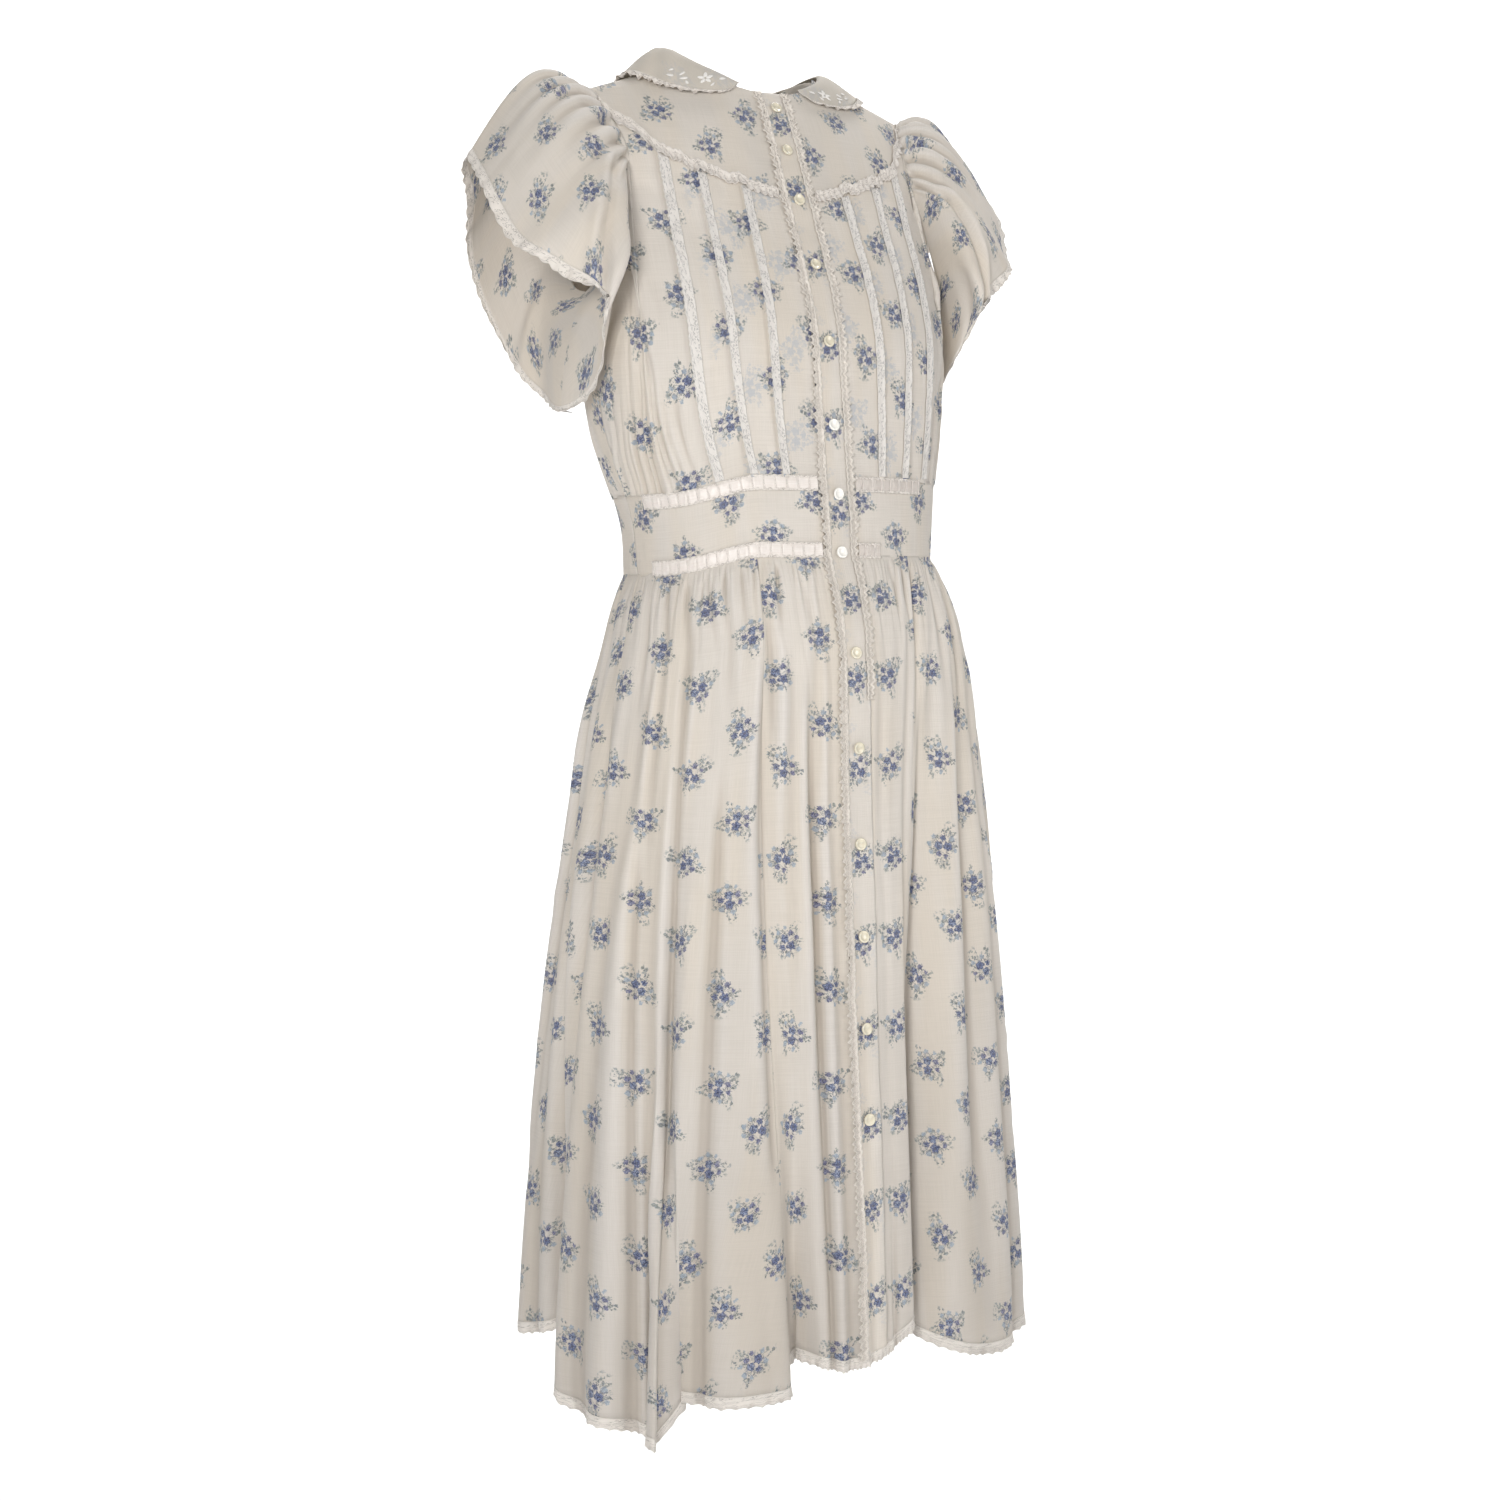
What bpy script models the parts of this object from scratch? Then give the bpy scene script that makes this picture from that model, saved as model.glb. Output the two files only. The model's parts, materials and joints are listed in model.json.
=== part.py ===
"""A worn prairie dress: cream voile, printed, with a yoke, pin tucks, flutter sleeves, a waistband and a gathered
skirt, opening down the front. Every piece is a thin wall on a surface worked out from the tables below."""
import math

import bmesh
import bpy
import numpy as np
from mathutils import Vector

# ---------------------------------------------------------------- sizes, metres
# Origin: midway between the two neck ends of the shoulder seams. +Z up, front faces -Y, wearer's left is +X.
CLOTH = 0.0012          # wall of every cloth piece
SEAM = 0.0004           # clearance between two sewn pieces
LIFT = 0.0004           # clearance under a trim that lies on a panel
LACE = 0.0010           # wall of the lace edgings
TIP_X, TIP_Z = 0.164, -0.030          # shoulder tip: end of the shoulder seam
HPS_X = 0.070           # neck end of the shoulder seam
RIDGE_SLOPE = 0.337     # fall of the shoulder seam for each metre outwards
ROUND = 0.075           # depth over which the cloth turns over the shoulder
ARM_YOKE = 0.09         # share of the front armhole that the yoke makes
WAIST_TOP, WAIST_LOW = -0.372, -0.441  # edges of the waistband
SIDE_DIP = 0.016        # how much lower the waistband lies at the wearer's right side
PLACKET = 0.0138        # half width of the button placket
TRIM_IN, TRIM_OUT = 0.0098, 0.0176    # the lace trim on each edge of the placket
FULL = 0.16             # how much flatter than an ellipse the front and back are

# Cross sections of the bodice and waistband. One row for each level.
BODY = dict(cols=("z", "half_width", "side_y", "front_y", "back_y"), rows=(
    (0.030, 0.160, 0.000, -0.040, 0.084),
    (-0.030, 0.166, 0.000, -0.053, 0.093),
    (-0.060, 0.168, -0.005, -0.066, 0.099),
    (-0.100, 0.170, -0.012, -0.084, 0.105),
    (-0.150, 0.172, -0.022, -0.106, 0.108),
    (-0.200, 0.174, -0.033, -0.129, 0.104),
    (-0.250, 0.173, -0.040, -0.145, 0.093),
    (-0.302, 0.167, -0.043, -0.151, 0.077),
    (-0.340, 0.159, -0.050, -0.155, 0.061),
    (-0.372, 0.150, -0.058, -0.159, 0.048),
    (-0.405, 0.1445, -0.0635, -0.163, 0.040),
    (-0.441, 0.1410, -0.063, -0.167, 0.044),
))
# Cross sections of the skirt's mean surface, from the waistband seam down.
SKIRT = dict(cols=("z", "half_width", "side_y", "front_y", "back_y"), rows=(
    (-0.4405, 0.1410, -0.063, -0.167, 0.044),
    (-0.470, 0.155, -0.070, -0.179, 0.050),
    (-0.504, 0.165, -0.075, -0.188, 0.056),
    (-0.560, 0.177, -0.073, -0.192, 0.060),
    (-0.640, 0.187, -0.071, -0.194, 0.064),
    (-0.740, 0.198, -0.067, -0.200, 0.074),
    (-0.830, 0.204, -0.062, -0.203, 0.084),
    (-0.960, 0.207, -0.056, -0.209, 0.096),
    (-1.065, 0.209, -0.056, -0.213, 0.101),
    (-1.170, 0.210, -0.056, -0.216, 0.104),
))
# Folds of the skirt. waist and hem: where the fold's crest is, in degrees round the body from the centre
# front, wearer's left positive; wide: half width in degrees; out: how far the crest stands out at the hem;
# bulge: how much wider the crest is than its foot; starts: height where it begins.
FOLDS = dict(cols=("waist", "hem", "wide", "out", "bulge", "starts"), rows=(
    (-171.0, -172.0, 10.0, 0.028, 0.8, -0.56),
    (-142.0, -142.0, 10.0, 0.032, 0.9, -0.60),
    (-113.0, -109.0, 9.0, 0.018, 0.9, -0.62),
    (-97.0, -91.0, 5.5, -0.024, 0.0, -0.70),
    (-77.0, -70.0, 10.5, 0.024, 1.3, -0.60),
    (-57.0, -52.5, 3.6, 0.030, 0.6, -0.84),
    (-50.5, -46.0, 3.4, -0.020, 0.0, -0.92),
    (-40.5, -34.0, 8.5, 0.022, 1.5, -0.62),
    (-27.0, -21.0, 4.2, -0.026, 0.0, -0.80),
    (-8.0, -7.5, 12.0, 0.010, 0.0, -0.70),
    (20.0, 9.5, 5.0, 0.008, 0.6, -0.62),
    (37.0, 14.8, 5.6, -0.040, 0.0, -0.47),
    (55.0, 38.0, 14.0, 0.018, 0.9, -0.54),
    (80.0, 68.0, 5.5, -0.020, 0.0, -0.66),
    (99.0, 92.0, 10.0, 0.022, 1.0, -0.60),
    (131.0, 127.0, 10.0, 0.032, 0.9, -0.62),
    (158.0, 158.0, 8.0, 0.024, 0.8, -0.56),
))
# Where lines of the cloth that hang straight down the skirt lie at the waist and at the hem, degrees.
GRAIN = dict(cols=("waist", "hem"), rows=(
    (-180.0, -180.0), (-142.0, -142.0), (-113.0, -109.0), (-77.0, -70.0), (-57.0, -52.5), (-32.4, -26.0),
    (-20.0, -14.0), (-6.0, -3.8), (0.0, 0.0), (6.0, 3.8), (20.0, 9.5), (32.4, 13.2), (37.0, 14.8), (42.0, 20.0),
    (55.0, 38.0), (99.0, 92.0), (131.0, 127.0), (180.0, 180.0),
))
# Height of the hem, which dips at the crests that hang forward and rises in the troughs.
HEM = dict(cols=("hem", "z"), rows=(
    (-180.0, -1.122), (-142.0, -1.128), (-109.0, -1.112), (-91.0, -1.096), (-80.0, -1.138), (-66.0, -1.156),
    (-52.5, -1.166), (-46.0, -1.136), (-34.0, -1.134), (-26.0, -1.132), (-20.0, -1.108), (-7.5, -1.116),
    (5.0, -1.108), (14.0, -1.084), (21.0, -1.106), (38.0, -1.127), (68.0, -1.108), (92.0, -1.122), (127.0, -1.128),
    (158.0, -1.120), (180.0, -1.122),
))
SKIRT_TOP = WAIST_LOW - SEAM
HEM_LACE = 0.010        # depth of the lace edging round the hem

# Lines of the cloth down each front, from the placket to the side seam: where each leaves the yoke seam or the
# armhole seam, and where it reaches the waistband, degrees from the centre front. Six rows lie on the yoke seam.
FRONT = dict(cols=("top_x", "top_z", "waist"), rows=(
    (0.0142, -0.1235, 5.45), (0.0176, -0.1232, 6.75), (0.0500, -0.1130, 18.5), (0.0880, -0.1010, 30.0),
    (0.1170, -0.0860, 42.5), (0.1540, -0.0430, 57.0), (0.1440, -0.0900, 67.0), (0.1490, -0.1200, 74.0),
    (0.1620, -0.1650, 82.0), (0.1742, -0.2150, 89.8),
))
# The same lines carried up across the yoke to the neck seam and the shoulder seam.
YOKE = dict(cols=("top_x", "top_z"), rows=(
    (0.0142, -0.0260), (0.0176, -0.0255), (0.0480, -0.0160), (0.0700, 0.0000), (0.1120, -0.0142), (0.1640, -0.0317),
))
# Lines of the cloth down the back, from the centre to the side seam.
BACK = dict(cols=("top_x", "top_z", "waist"), rows=(
    (0.0000, -0.0180, 0.0), (0.0360, -0.0140, 14.0), (0.0580, -0.0070, 26.0), (0.0700, 0.0000, 36.0),
    (0.1150, -0.0152, 50.0), (0.1640, -0.0317, 62.0), (0.1590, -0.0700, 69.0), (0.1565, -0.1200, 76.0),
    (0.1610, -0.1700, 83.0), (0.1742, -0.2150, 89.8),
))
# Lace bands that edge the pin tucks, as steps along the rows of FRONT.
TUCKS = dict(cols=("line", "wide"), rows=((2.0, 0.22), (3.0, 0.22), (4.0, 0.24)))
LEFT_SLEEVE = 0.82      # the wearer's left sleeve has slid up: it reaches this share of the right one's fall
LEFT_COLLAR = 0.35      # and the left half of the collar lies flatter: this share of the right one's roll
# The open end of each sleeve, by degrees round the armhole from the shoulder tip towards the front, and how far
# the cloth puffs out halfway along.
SLEEVE = dict(cols=("round", "x", "y", "z", "puff_x", "puff_y", "puff_z"), rows=(
    (0.0, 0.272, -0.004, -0.100, 0.000, 0.000, 0.038),
    (30.0, 0.274, -0.044, -0.135, -0.002, -0.012, 0.030),
    (60.0, 0.262, -0.080, -0.182, -0.004, -0.024, 0.016),
    (90.0, 0.234, -0.104, -0.202, -0.004, -0.032, 0.004),
    (115.0, 0.202, -0.112, -0.222, 0.002, -0.034, 0.000),
    (140.0, 0.187, -0.088, -0.262, 0.004, -0.024, 0.000),
    (165.0, 0.184, -0.046, -0.298, 0.006, -0.006, 0.000),
    (180.0, 0.185, -0.016, -0.304, 0.007, 0.000, 0.000),
    (210.0, 0.188, 0.028, -0.290, 0.006, 0.010, 0.000),
    (240.0, 0.203, 0.062, -0.258, 0.000, 0.016, 0.000),
    (270.0, 0.226, 0.072, -0.210, -0.002, 0.016, 0.006),
    (300.0, 0.246, 0.058, -0.160, 0.000, 0.010, 0.018),
    (330.0, 0.262, 0.030, -0.118, 0.000, 0.004, 0.030),
    (360.0, 0.272, -0.004, -0.100, 0.000, 0.000, 0.038),
))
# The collar: degrees round the neck from the centre front, the neck seam and the outer edge.
COLLAR = dict(cols=("round", "neck_x", "neck_z", "edge_x", "edge_z", "stand", "flare"), rows=(
    (25.0, 0.0290, -0.0225, 0.0330, -0.0262, 0.002, 0.000), (31.0, 0.0350, -0.0205, 0.0480, -0.0335, 0.005, 0.001),
    (42.0, 0.0460, -0.0160, 0.0700, -0.0350, 0.008, 0.001), (56.0, 0.0580, -0.0098, 0.0920, -0.0325, 0.011, 0.002),
    (72.0, 0.0665, -0.0030, 0.1090, -0.0245, 0.015, 0.002), (90.0, 0.0700, 0.0000, 0.1200, -0.0168, 0.018, 0.002),
    (110.0, 0.0650, -0.0040, 0.1190, -0.0290, 0.019, 0.000), (135.0, 0.0500, -0.0100, 0.0960, -0.0600, 0.019, 0.001),
    (160.0, 0.0240, -0.0160, 0.0450, -0.0760, 0.018, 0.001), (179.7, 0.0004, -0.0180, 0.0006, -0.0790, 0.018, 0.001),
))
BUTTON_Z = (-0.042, -0.082, -0.1285, -0.188, -0.256, -0.328, -0.387, -0.437, -0.522, -0.602, -0.6825, -0.760,
            -0.8365, -0.9115)
BUTTON_R, BUTTON_T = 0.0053, 0.0024


def column(table, name):
    k = table["cols"].index(name)
    return np.array([row[k] for row in table["rows"]], float)


def smooth(xs, ys, x):
    """A smooth curve through the rows that never overshoots them."""
    if xs[0] > xs[-1]:
        xs, ys = xs[::-1], ys[::-1]
    x = np.clip(np.asarray(x, float), xs[0], xs[-1])
    h = np.diff(xs)
    d = np.diff(ys) / h
    m = np.zeros(len(xs))
    for i in range(1, len(xs) - 1):
        if d[i - 1] * d[i] > 0:
            w1, w2 = 2 * h[i] + h[i - 1], h[i] + 2 * h[i - 1]
            m[i] = (w1 + w2) / (w1 / d[i - 1] + w2 / d[i])
    m[0], m[-1] = d[0], d[-1]
    i = np.clip(np.searchsorted(xs, x, side="right") - 1, 0, len(xs) - 2)
    t = (x - xs[i]) / h[i]
    return ((2 * t ** 3 - 3 * t ** 2 + 1) * ys[i] + (t ** 3 - 2 * t ** 2 + t) * h[i] * m[i]
            + (3 * t ** 2 - 2 * t ** 3) * ys[i + 1] + (t ** 3 - t ** 2) * h[i] * m[i + 1])


def read(table, key, name, x):
    return smooth(column(table, key), column(table, name), x)


def ridge(x):
    """Height of the shoulder line at a distance from the middle."""
    return -RIDGE_SLOPE * (np.abs(x) - HPS_X)


def section(table, th, z):
    """A point on the cross section at height z. th: radians round the body from the centre front."""
    a = read(table, "z", "half_width", z)
    ys = read(table, "z", "side_y", z)
    yf = read(table, "z", "front_y", z)
    yb = read(table, "z", "back_y", z)
    s, c = np.sin(th), np.cos(th)
    full = np.abs(c) * (1 + FULL * s * s)
    return a * s, ys + np.where(c >= 0, (yf - ys) * full, (yb - ys) * full)


def torso(th, z):
    """The bodice and waistband: the sections, turned in over the shoulders to the shoulder seam."""
    th, z = np.broadcast_arrays(np.asarray(th, float), np.asarray(z, float))
    x, y = section(BODY, th, z)
    w = np.clip((ridge(x) - z) / ROUND, 0.0, 1.0)
    y = y * np.sqrt(1 - (1 - w) ** 2) + np.where(np.cos(th) >= 0, -SEAM, SEAM) * (1 - w)
    return np.stack([x, y, z + 0 * x], -1)


def spin(u, z):
    """Where the cloth line that leaves the waist at u degrees lies at height z, in radians."""
    u = np.asarray(u, float)
    a = read(SKIRT, "z", "half_width", z)
    a0 = read(SKIRT, "z", "half_width", -0.4405)
    a1 = read(SKIRT, "z", "half_width", -1.170)
    k = (1 / a - 1 / a0) / (1 / a1 - 1 / a0)
    return u + (read(GRAIN, "waist", "hem", u) - u) * k


def hem_z(u):
    return read(HEM, "hem", "z", read(GRAIN, "waist", "hem", u))


def skirt(u, z, scale=1.0):
    """The skirt, u in degrees at the waist: the sections, pushed out and in by the folds."""
    u, z = np.broadcast_arrays(np.asarray(u, float), np.asarray(z, float))
    th = spin(u, z)
    out = np.zeros_like(th)
    turn = np.zeros_like(th)
    for at, hem, wide, high, bulge, starts in FOLDS["rows"]:
        for wrap in (-360.0, 0.0, 360.0):
            c = at + wrap
            q = (u - c) / (wide * (1.25 if high > 0 else 1.2))
            g = np.exp(-q * q)
            t = np.clip((starts - z) / (starts + 1.15), 0.0, 1.15)
            grow = t * t * (3 - 2 * np.minimum(t, 1.0))
            out = out + high * scale * g * grow
            turn = turn + bulge * wide * q * g * grow * 0.9
    th = np.radians(th + turn)
    x, y = section(SKIRT, th, z)
    e = 1e-3
    x2, y2 = section(SKIRT, th + e, z)
    x1, y1 = section(SKIRT, th - e, z)
    tx, ty = x2 - x1, y2 - y1
    n = np.sqrt(tx * tx + ty * ty)
    return np.stack([x + ty / n * out, y - tx / n * out, z + 0 * x], -1)


def lines(table, s, name):
    """A column of a table of cloth lines, s counting its rows from 0."""
    rows = column(table, name)
    return smooth(np.arange(len(rows), dtype=float), rows, s)


def around(x, z, back):
    """Radians round the body of the point at half width x and height z."""
    a = read(BODY, "z", "half_width", z)
    th = np.arcsin(np.clip(x / a, -0.999996, 0.999996))
    return np.where(back, np.pi - th, th)


def front(s, t):
    """Wearer's left front below the yoke: s counts the rows of FRONT, t runs from the yoke to the waistband."""
    x0, z0 = lines(FRONT, s, "top_x"), lines(FRONT, s, "top_z")
    th0 = around(x0, z0, False)
    th1 = np.radians(lines(FRONT, s, "waist"))
    z1 = WAIST_TOP + SEAM
    return torso(th0 + (th1 - th0) * t, z0 + (z1 - z0) * t)


def yoke(s, t):
    """Wearer's left yoke: t runs from the neck or shoulder seam to the yoke seam."""
    x0, z0 = lines(YOKE, s, "top_x"), lines(YOKE, s, "top_z")
    z0 = np.where(s >= 3.0, ridge(x0), z0)
    x1, z1 = lines(FRONT, s, "top_x"), lines(FRONT, s, "top_z") + SEAM
    th0, th1 = around(x0, z0, False), around(x1, z1, False)
    return torso(th0 + (th1 - th0) * t, z0 + (z1 - z0) * t)


def back(s, t):
    """The back, s from 0 at its centre to 9 at the wearer's left side seam, negative on the other side."""
    a = np.abs(s)
    x0, z0 = lines(BACK, a, "top_x"), lines(BACK, a, "top_z")
    z0 = np.where((a >= 3.0) & (a <= 5.0), ridge(x0), z0)
    th0 = around(x0, z0, True)
    th1 = np.pi - np.radians(lines(BACK, a, "waist"))
    p = torso(th0 + (th1 - th0) * t, z0 + (WAIST_TOP + SEAM - z0) * t)
    return p * np.stack([np.where(s < 0, -1.0, 1.0) + 0 * t, 1 + 0 * (s + t), 1 + 0 * (s + t)], -1)


def armhole(round_deg):
    """The armhole seam of the wearer's left side."""
    r = np.mod(np.asarray(round_deg, float), 360.0)
    fore = r <= 180.0
    k = np.where(fore, r, 360.0 - r) / 180.0     # 0 at the shoulder tip, 1 at the underarm
    top = yoke(5.0 + 0 * k, np.clip(k / ARM_YOKE, 0, 1))
    low = front(5.0 + 4.0 * np.clip((k - ARM_YOKE) / (1 - ARM_YOKE), 0, 1), 0 * k)
    rear = back(5.0 + 4.0 * k, 0 * k)
    return np.where(fore[..., None], np.where((k < ARM_YOKE)[..., None], top, low), rear)


def sleeve(r, t, reach=1.0):
    """Wearer's left sleeve: r degrees round the armhole, t from the armhole seam to the lace."""
    r, t = np.broadcast_arrays(np.asarray(r, float), np.asarray(t, float))
    a = armhole(r) + np.array([SEAM + 0.0022, 0.0, 0.0])
    m = np.mod(r, 360.0)
    hem = np.stack([read(SLEEVE, "round", n, m) for n in ("x", "y", "z")], -1)
    puff = np.stack([read(SLEEVE, "round", n, m) for n in ("puff_x", "puff_y", "puff_z")], -1)
    t = t[..., None]
    return a + (hem - a) * t * reach + puff * reach * np.sin(np.pi * np.clip(t, 0, 1) ** 0.85)


def neck(r):
    x, z = read(COLLAR, "round", "neck_x", r), read(COLLAR, "round", "neck_z", r)
    return torso(around(x, z, r > 90.0), z)


def collar(r, v, roll=1.0):
    """Wearer's left half of the collar: r degrees round the neck, v from the neck seam to the edge."""
    r, v = np.broadcast_arrays(np.asarray(r, float), np.asarray(v, float))
    x0, z0 = read(COLLAR, "round", "neck_x", r), read(COLLAR, "round", "neck_z", r)
    x1, z1 = read(COLLAR, "round", "edge_x", r), read(COLLAR, "round", "edge_z", r)
    x, z = x0 + (x1 - x0) * v, z0 + (z1 - z0) * v
    z = np.minimum(z, ridge(x))
    p = torso(around(x, z, r > 90.0), z)
    out = p - np.array([0.0, 0.02, -0.16])         # away from a point low inside the chest
    out = out / np.linalg.norm(out, axis=-1, keepdims=True)
    stand, flare = read(COLLAR, "round", "stand", r), read(COLLAR, "round", "flare", r)
    roll = roll + (1 - roll) * np.clip((r - 110) / 60, 0, 1)      # both halves meet at the centre back
    rise = 0.0032 + roll * (stand * np.sin(np.pi * np.clip(v, 0, 1) ** 0.55) * (1 - 0.55 * v) + flare * np.clip(v, 0, 1.1))
    return p + out * rise[..., None]


def band(u, z):
    """The waistband."""
    return torso(np.radians(u), z)


def skirt_panel(u, t):
    """The skirt, t from the waistband to the lace; past 1 lies the lace."""
    low = hem_z(u) + HEM_LACE
    return skirt(u, SKIRT_TOP + (low - SKIRT_TOP) * t)


def centre(x, z):
    """The front's middle at x metres from the centre line, neck to hem."""
    x, z = np.broadcast_arrays(np.asarray(x, float), np.asarray(z, float))
    th = around(x, z, False)
    u = np.degrees(np.arcsin(x / 0.141))
    zs = SKIRT_TOP + (z - SKIRT_TOP) * (hem_z(u) + HEM_LACE - SKIRT_TOP) / (hem_z(0.0) + HEM_LACE - SKIRT_TOP)
    low = skirt(u, np.minimum(zs, -0.4405))
    return np.where((z > -0.4407)[..., None], torso(th, z), low)


def settle(p):
    """The waist sits a little lower on the wearer's right side than in front and on the left."""
    x, z = p[..., 0], p[..., 2]
    side = np.clip((-0.070 - x) / 0.072, 0, 1)
    high = np.clip((z + 0.22) / (-0.372 + 0.22), 0, 1)
    low = np.clip((z + 0.80) / (-0.441 + 0.80), 0, 1)
    k = side * side * (3 - 2 * side) * high * high * (3 - 2 * high) * low * low * (3 - 2 * low)
    return p - np.stack([0 * x, 0 * x, SIDE_DIP * k], -1)


# ---------------------------------------------------------------- solids
COLOURS = {
    "voile": (0.78, 0.74, 0.66), "lace": (0.80, 0.76, 0.70), "ribbon": (0.86, 0.80, 0.75), "pearl": (0.78, 0.74, 0.66),
}
ROUGH = {"voile": 0.85, "lace": 0.8, "ribbon": 0.35, "pearl": 0.25}


def material(name, kind):
    m = bpy.data.materials.new(name + "_material")
    m.use_nodes = True
    b = m.node_tree.nodes["Principled BSDF"]
    b.inputs["Base Color"].default_value = (*COLOURS[kind], 1.0)
    b.inputs["Roughness"].default_value = ROUGH[kind]
    b.inputs["Metallic"].default_value = 0.0
    return m


def add(name, kind, verts, faces):
    me = bpy.data.meshes.new(name)
    me.from_pydata([tuple(map(float, v)) for v in verts], [], faces)
    bm = bmesh.new()
    bm.from_mesh(me)
    bmesh.ops.recalc_face_normals(bm, faces=bm.faces[:])
    if bm.calc_volume(signed=True) < 0:
        bmesh.ops.reverse_faces(bm, faces=bm.faces[:])
    bm.to_mesh(me)
    bm.free()
    me.shade_smooth()
    me.set_sharp_from_angle(angle=math.radians(40))
    ob = bpy.data.objects.new(name, me)
    ob.data.materials.append(material(name, kind))
    bpy.context.scene.collection.objects.link(ob)
    return ob


def normals(f, u, v, ref):
    """Unit normals of a surface from its own slopes, pointing away from the reference."""
    e = 2e-4
    du = f(u + e, v) - f(u - e, v)
    dv = f(u, v + e) - f(u, v - e)
    n = np.cross(du, dv)
    n /= np.maximum(np.linalg.norm(n, axis=-1, keepdims=True), 1e-12)
    p = f(u, v)
    if ref == "rings":
        c = p.mean(axis=0, keepdims=True)
    elif ref == "axis":
        c = p * (0.0, 0.0, 1.0) + (0.0, -0.06, 0.0)
    else:
        c = np.array([0.0, -0.02, -0.25])
    return n if np.sum(n * (p - c)) > 0 else -n


def wall(name, kind, f, us, vs, ref="chest", lift=0.0, thick=CLOTH, flip=False, closed=False):
    """A cloth wall on the surface f at the grid us by vs: inside the surface, or outside it by the lift."""
    u, v = np.meshgrid(np.asarray(us, float), np.asarray(vs, float), indexing="ij")
    p = f(u, v)
    n = normals(f, u, v, ref)
    top = p + n * (lift + (thick if lift > 0 else 0.0))
    low = p + n * (lift if lift > 0 else -thick)
    if flip:
        top, low = top * (-1, 1, 1), low * (-1, 1, 1)
    top, low = settle(top), settle(low)
    nu, nv = p.shape[:2]
    verts = np.concatenate([top.reshape(-1, 3), low.reshape(-1, 3)])
    k = nu * nv

    def at(i, j, side):
        return (i % nu) * nv + j + side * k

    faces = []
    last = nu if closed else nu - 1
    for i in range(last):
        for j in range(nv - 1):
            a, b, c, d = at(i, j, 0), at(i + 1, j, 0), at(i + 1, j + 1, 0), at(i, j + 1, 0)
            faces += [(a, b, c), (a, c, d)]
            a, b, c, d = at(i, j, 1), at(i + 1, j, 1), at(i + 1, j + 1, 1), at(i, j + 1, 1)
            faces += [(a, c, b), (a, d, c)]
        for j, s in ((0, 1), (nv - 1, 0)):
            a, b, c, d = at(i, j, 0), at(i + 1, j, 0), at(i + 1, j, 1), at(i, j, 1)
            faces += [(a, c, b), (a, d, c)] if s else [(a, b, c), (a, c, d)]
    if not closed:
        for i, s in ((0, 0), (nu - 1, 1)):
            for j in range(nv - 1):
                a, b, c, d = at(i, j, 0), at(i, j + 1, 0), at(i, j + 1, 1), at(i, j, 1)
                faces += [(a, c, b), (a, d, c)] if s else [(a, b, c), (a, c, d)]
    return add(name, kind, verts, faces)


for ob in list(bpy.data.objects):
    bpy.data.objects.remove(ob, do_unlink=True)

YOKE_T = (0.0, 0.025, 0.10, 0.25, 0.50, 0.78, 1.0)       # closer together where the cloth turns over the shoulder
YOKE_C = (0.0, 0.12, 0.30, 0.55, 0.80, 1.0)                   # near the placket there is no turn
BODY_T = (0.0, 0.04, 0.15, 0.30, 0.46, 0.63, 0.82, 1.0)
SKIRT_T = (0.0, 0.04, 0.10, 0.21, 0.35, 0.51, 0.68, 0.84, 1.0)
ROUNDS = (0, 8, 16.2, 28, 40.8, 55, 69.4, 84, 98.1, 114, 130.9, 145, 159.5, 180, 193, 206, 220.5, 240, 261, 279, 297, 315, 333, 346)

tuck_s = []
for line, wide in TUCKS["rows"]:
    tuck_s += [line - wide / 2, line + wide / 2]
FRONT_S = [0.0, 1.0, 1.5] + tuck_s[:2] + [2.5] + tuck_s[2:4] + [3.5] + tuck_s[4:6] + [4.55, 5.0, 5.6, 6.3, 7.0, 7.8, 8.5, 9.0]
YOKE_S = [0.0, 1.0, 1.5, 2.0, 2.5, 3.0, 3.5, 4.0, 4.5, 5.0]

for side, flip, reach, roll in (("left", False, LEFT_SLEEVE, LEFT_COLLAR), ("right", True, 1.0, 1.0)):
    def hang(r, t):
        return sleeve(r, t, reach)

    def turned(r, v):
        return collar(r, v, roll)

    wall("front_" + side, "voile", front, FRONT_S, BODY_T, flip=flip)
    wall("yoke_" + side, "voile", yoke, YOKE_S, YOKE_T, flip=flip)
    edge = [s for s in FRONT_S if 1.02 <= s < 4.8]
    wall("yoke_lace_" + side, "lace", front, [1.06] + edge, (0.0, 0.04), lift=LIFT, thick=LACE, flip=flip)
    for k, (a, b) in enumerate(zip(tuck_s[0::2], tuck_s[1::2])):
        wall("tuck_lace_%s_%d" % (side, k + 1), "lace", front, (a, b), (0.048,) + BODY_T[2:], lift=LIFT, thick=LACE, flip=flip)
    wall("sleeve_" + side, "voile", hang, ROUNDS, (0.0, 0.13, 0.36, 0.64, 0.955), ref="rings", flip=flip,
         closed=True)
    wall("sleeve_lace_" + side, "lace", hang, ROUNDS, (0.9585, 1.02), ref="rings", flip=flip, closed=True)
    wall("collar_" + side, "voile", turned, (25, 31, 42, 54, 66, 78, 90, 103, 117, 131, 147, 163, 179.7),
         (0.0, 0.18, 0.5, 0.88), flip=flip)
    wall("collar_lace_" + side, "lace", turned, (25, 31, 42, 54, 66, 78, 90, 103, 117, 131, 147, 163, 179.7),
         (0.892, 1.0), flip=flip)

half = [0.0, 1.0, 2.0, 3.0, 4.0, 5.0, 5.6, 6.4, 7.2, 8.1, 9.0]
wall("back", "voile", back, [-s for s in half[:0:-1]] + half, (0.0, 0.02, 0.07, 0.17, 0.32, 0.48, 0.64, 0.82, 1.0))

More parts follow.
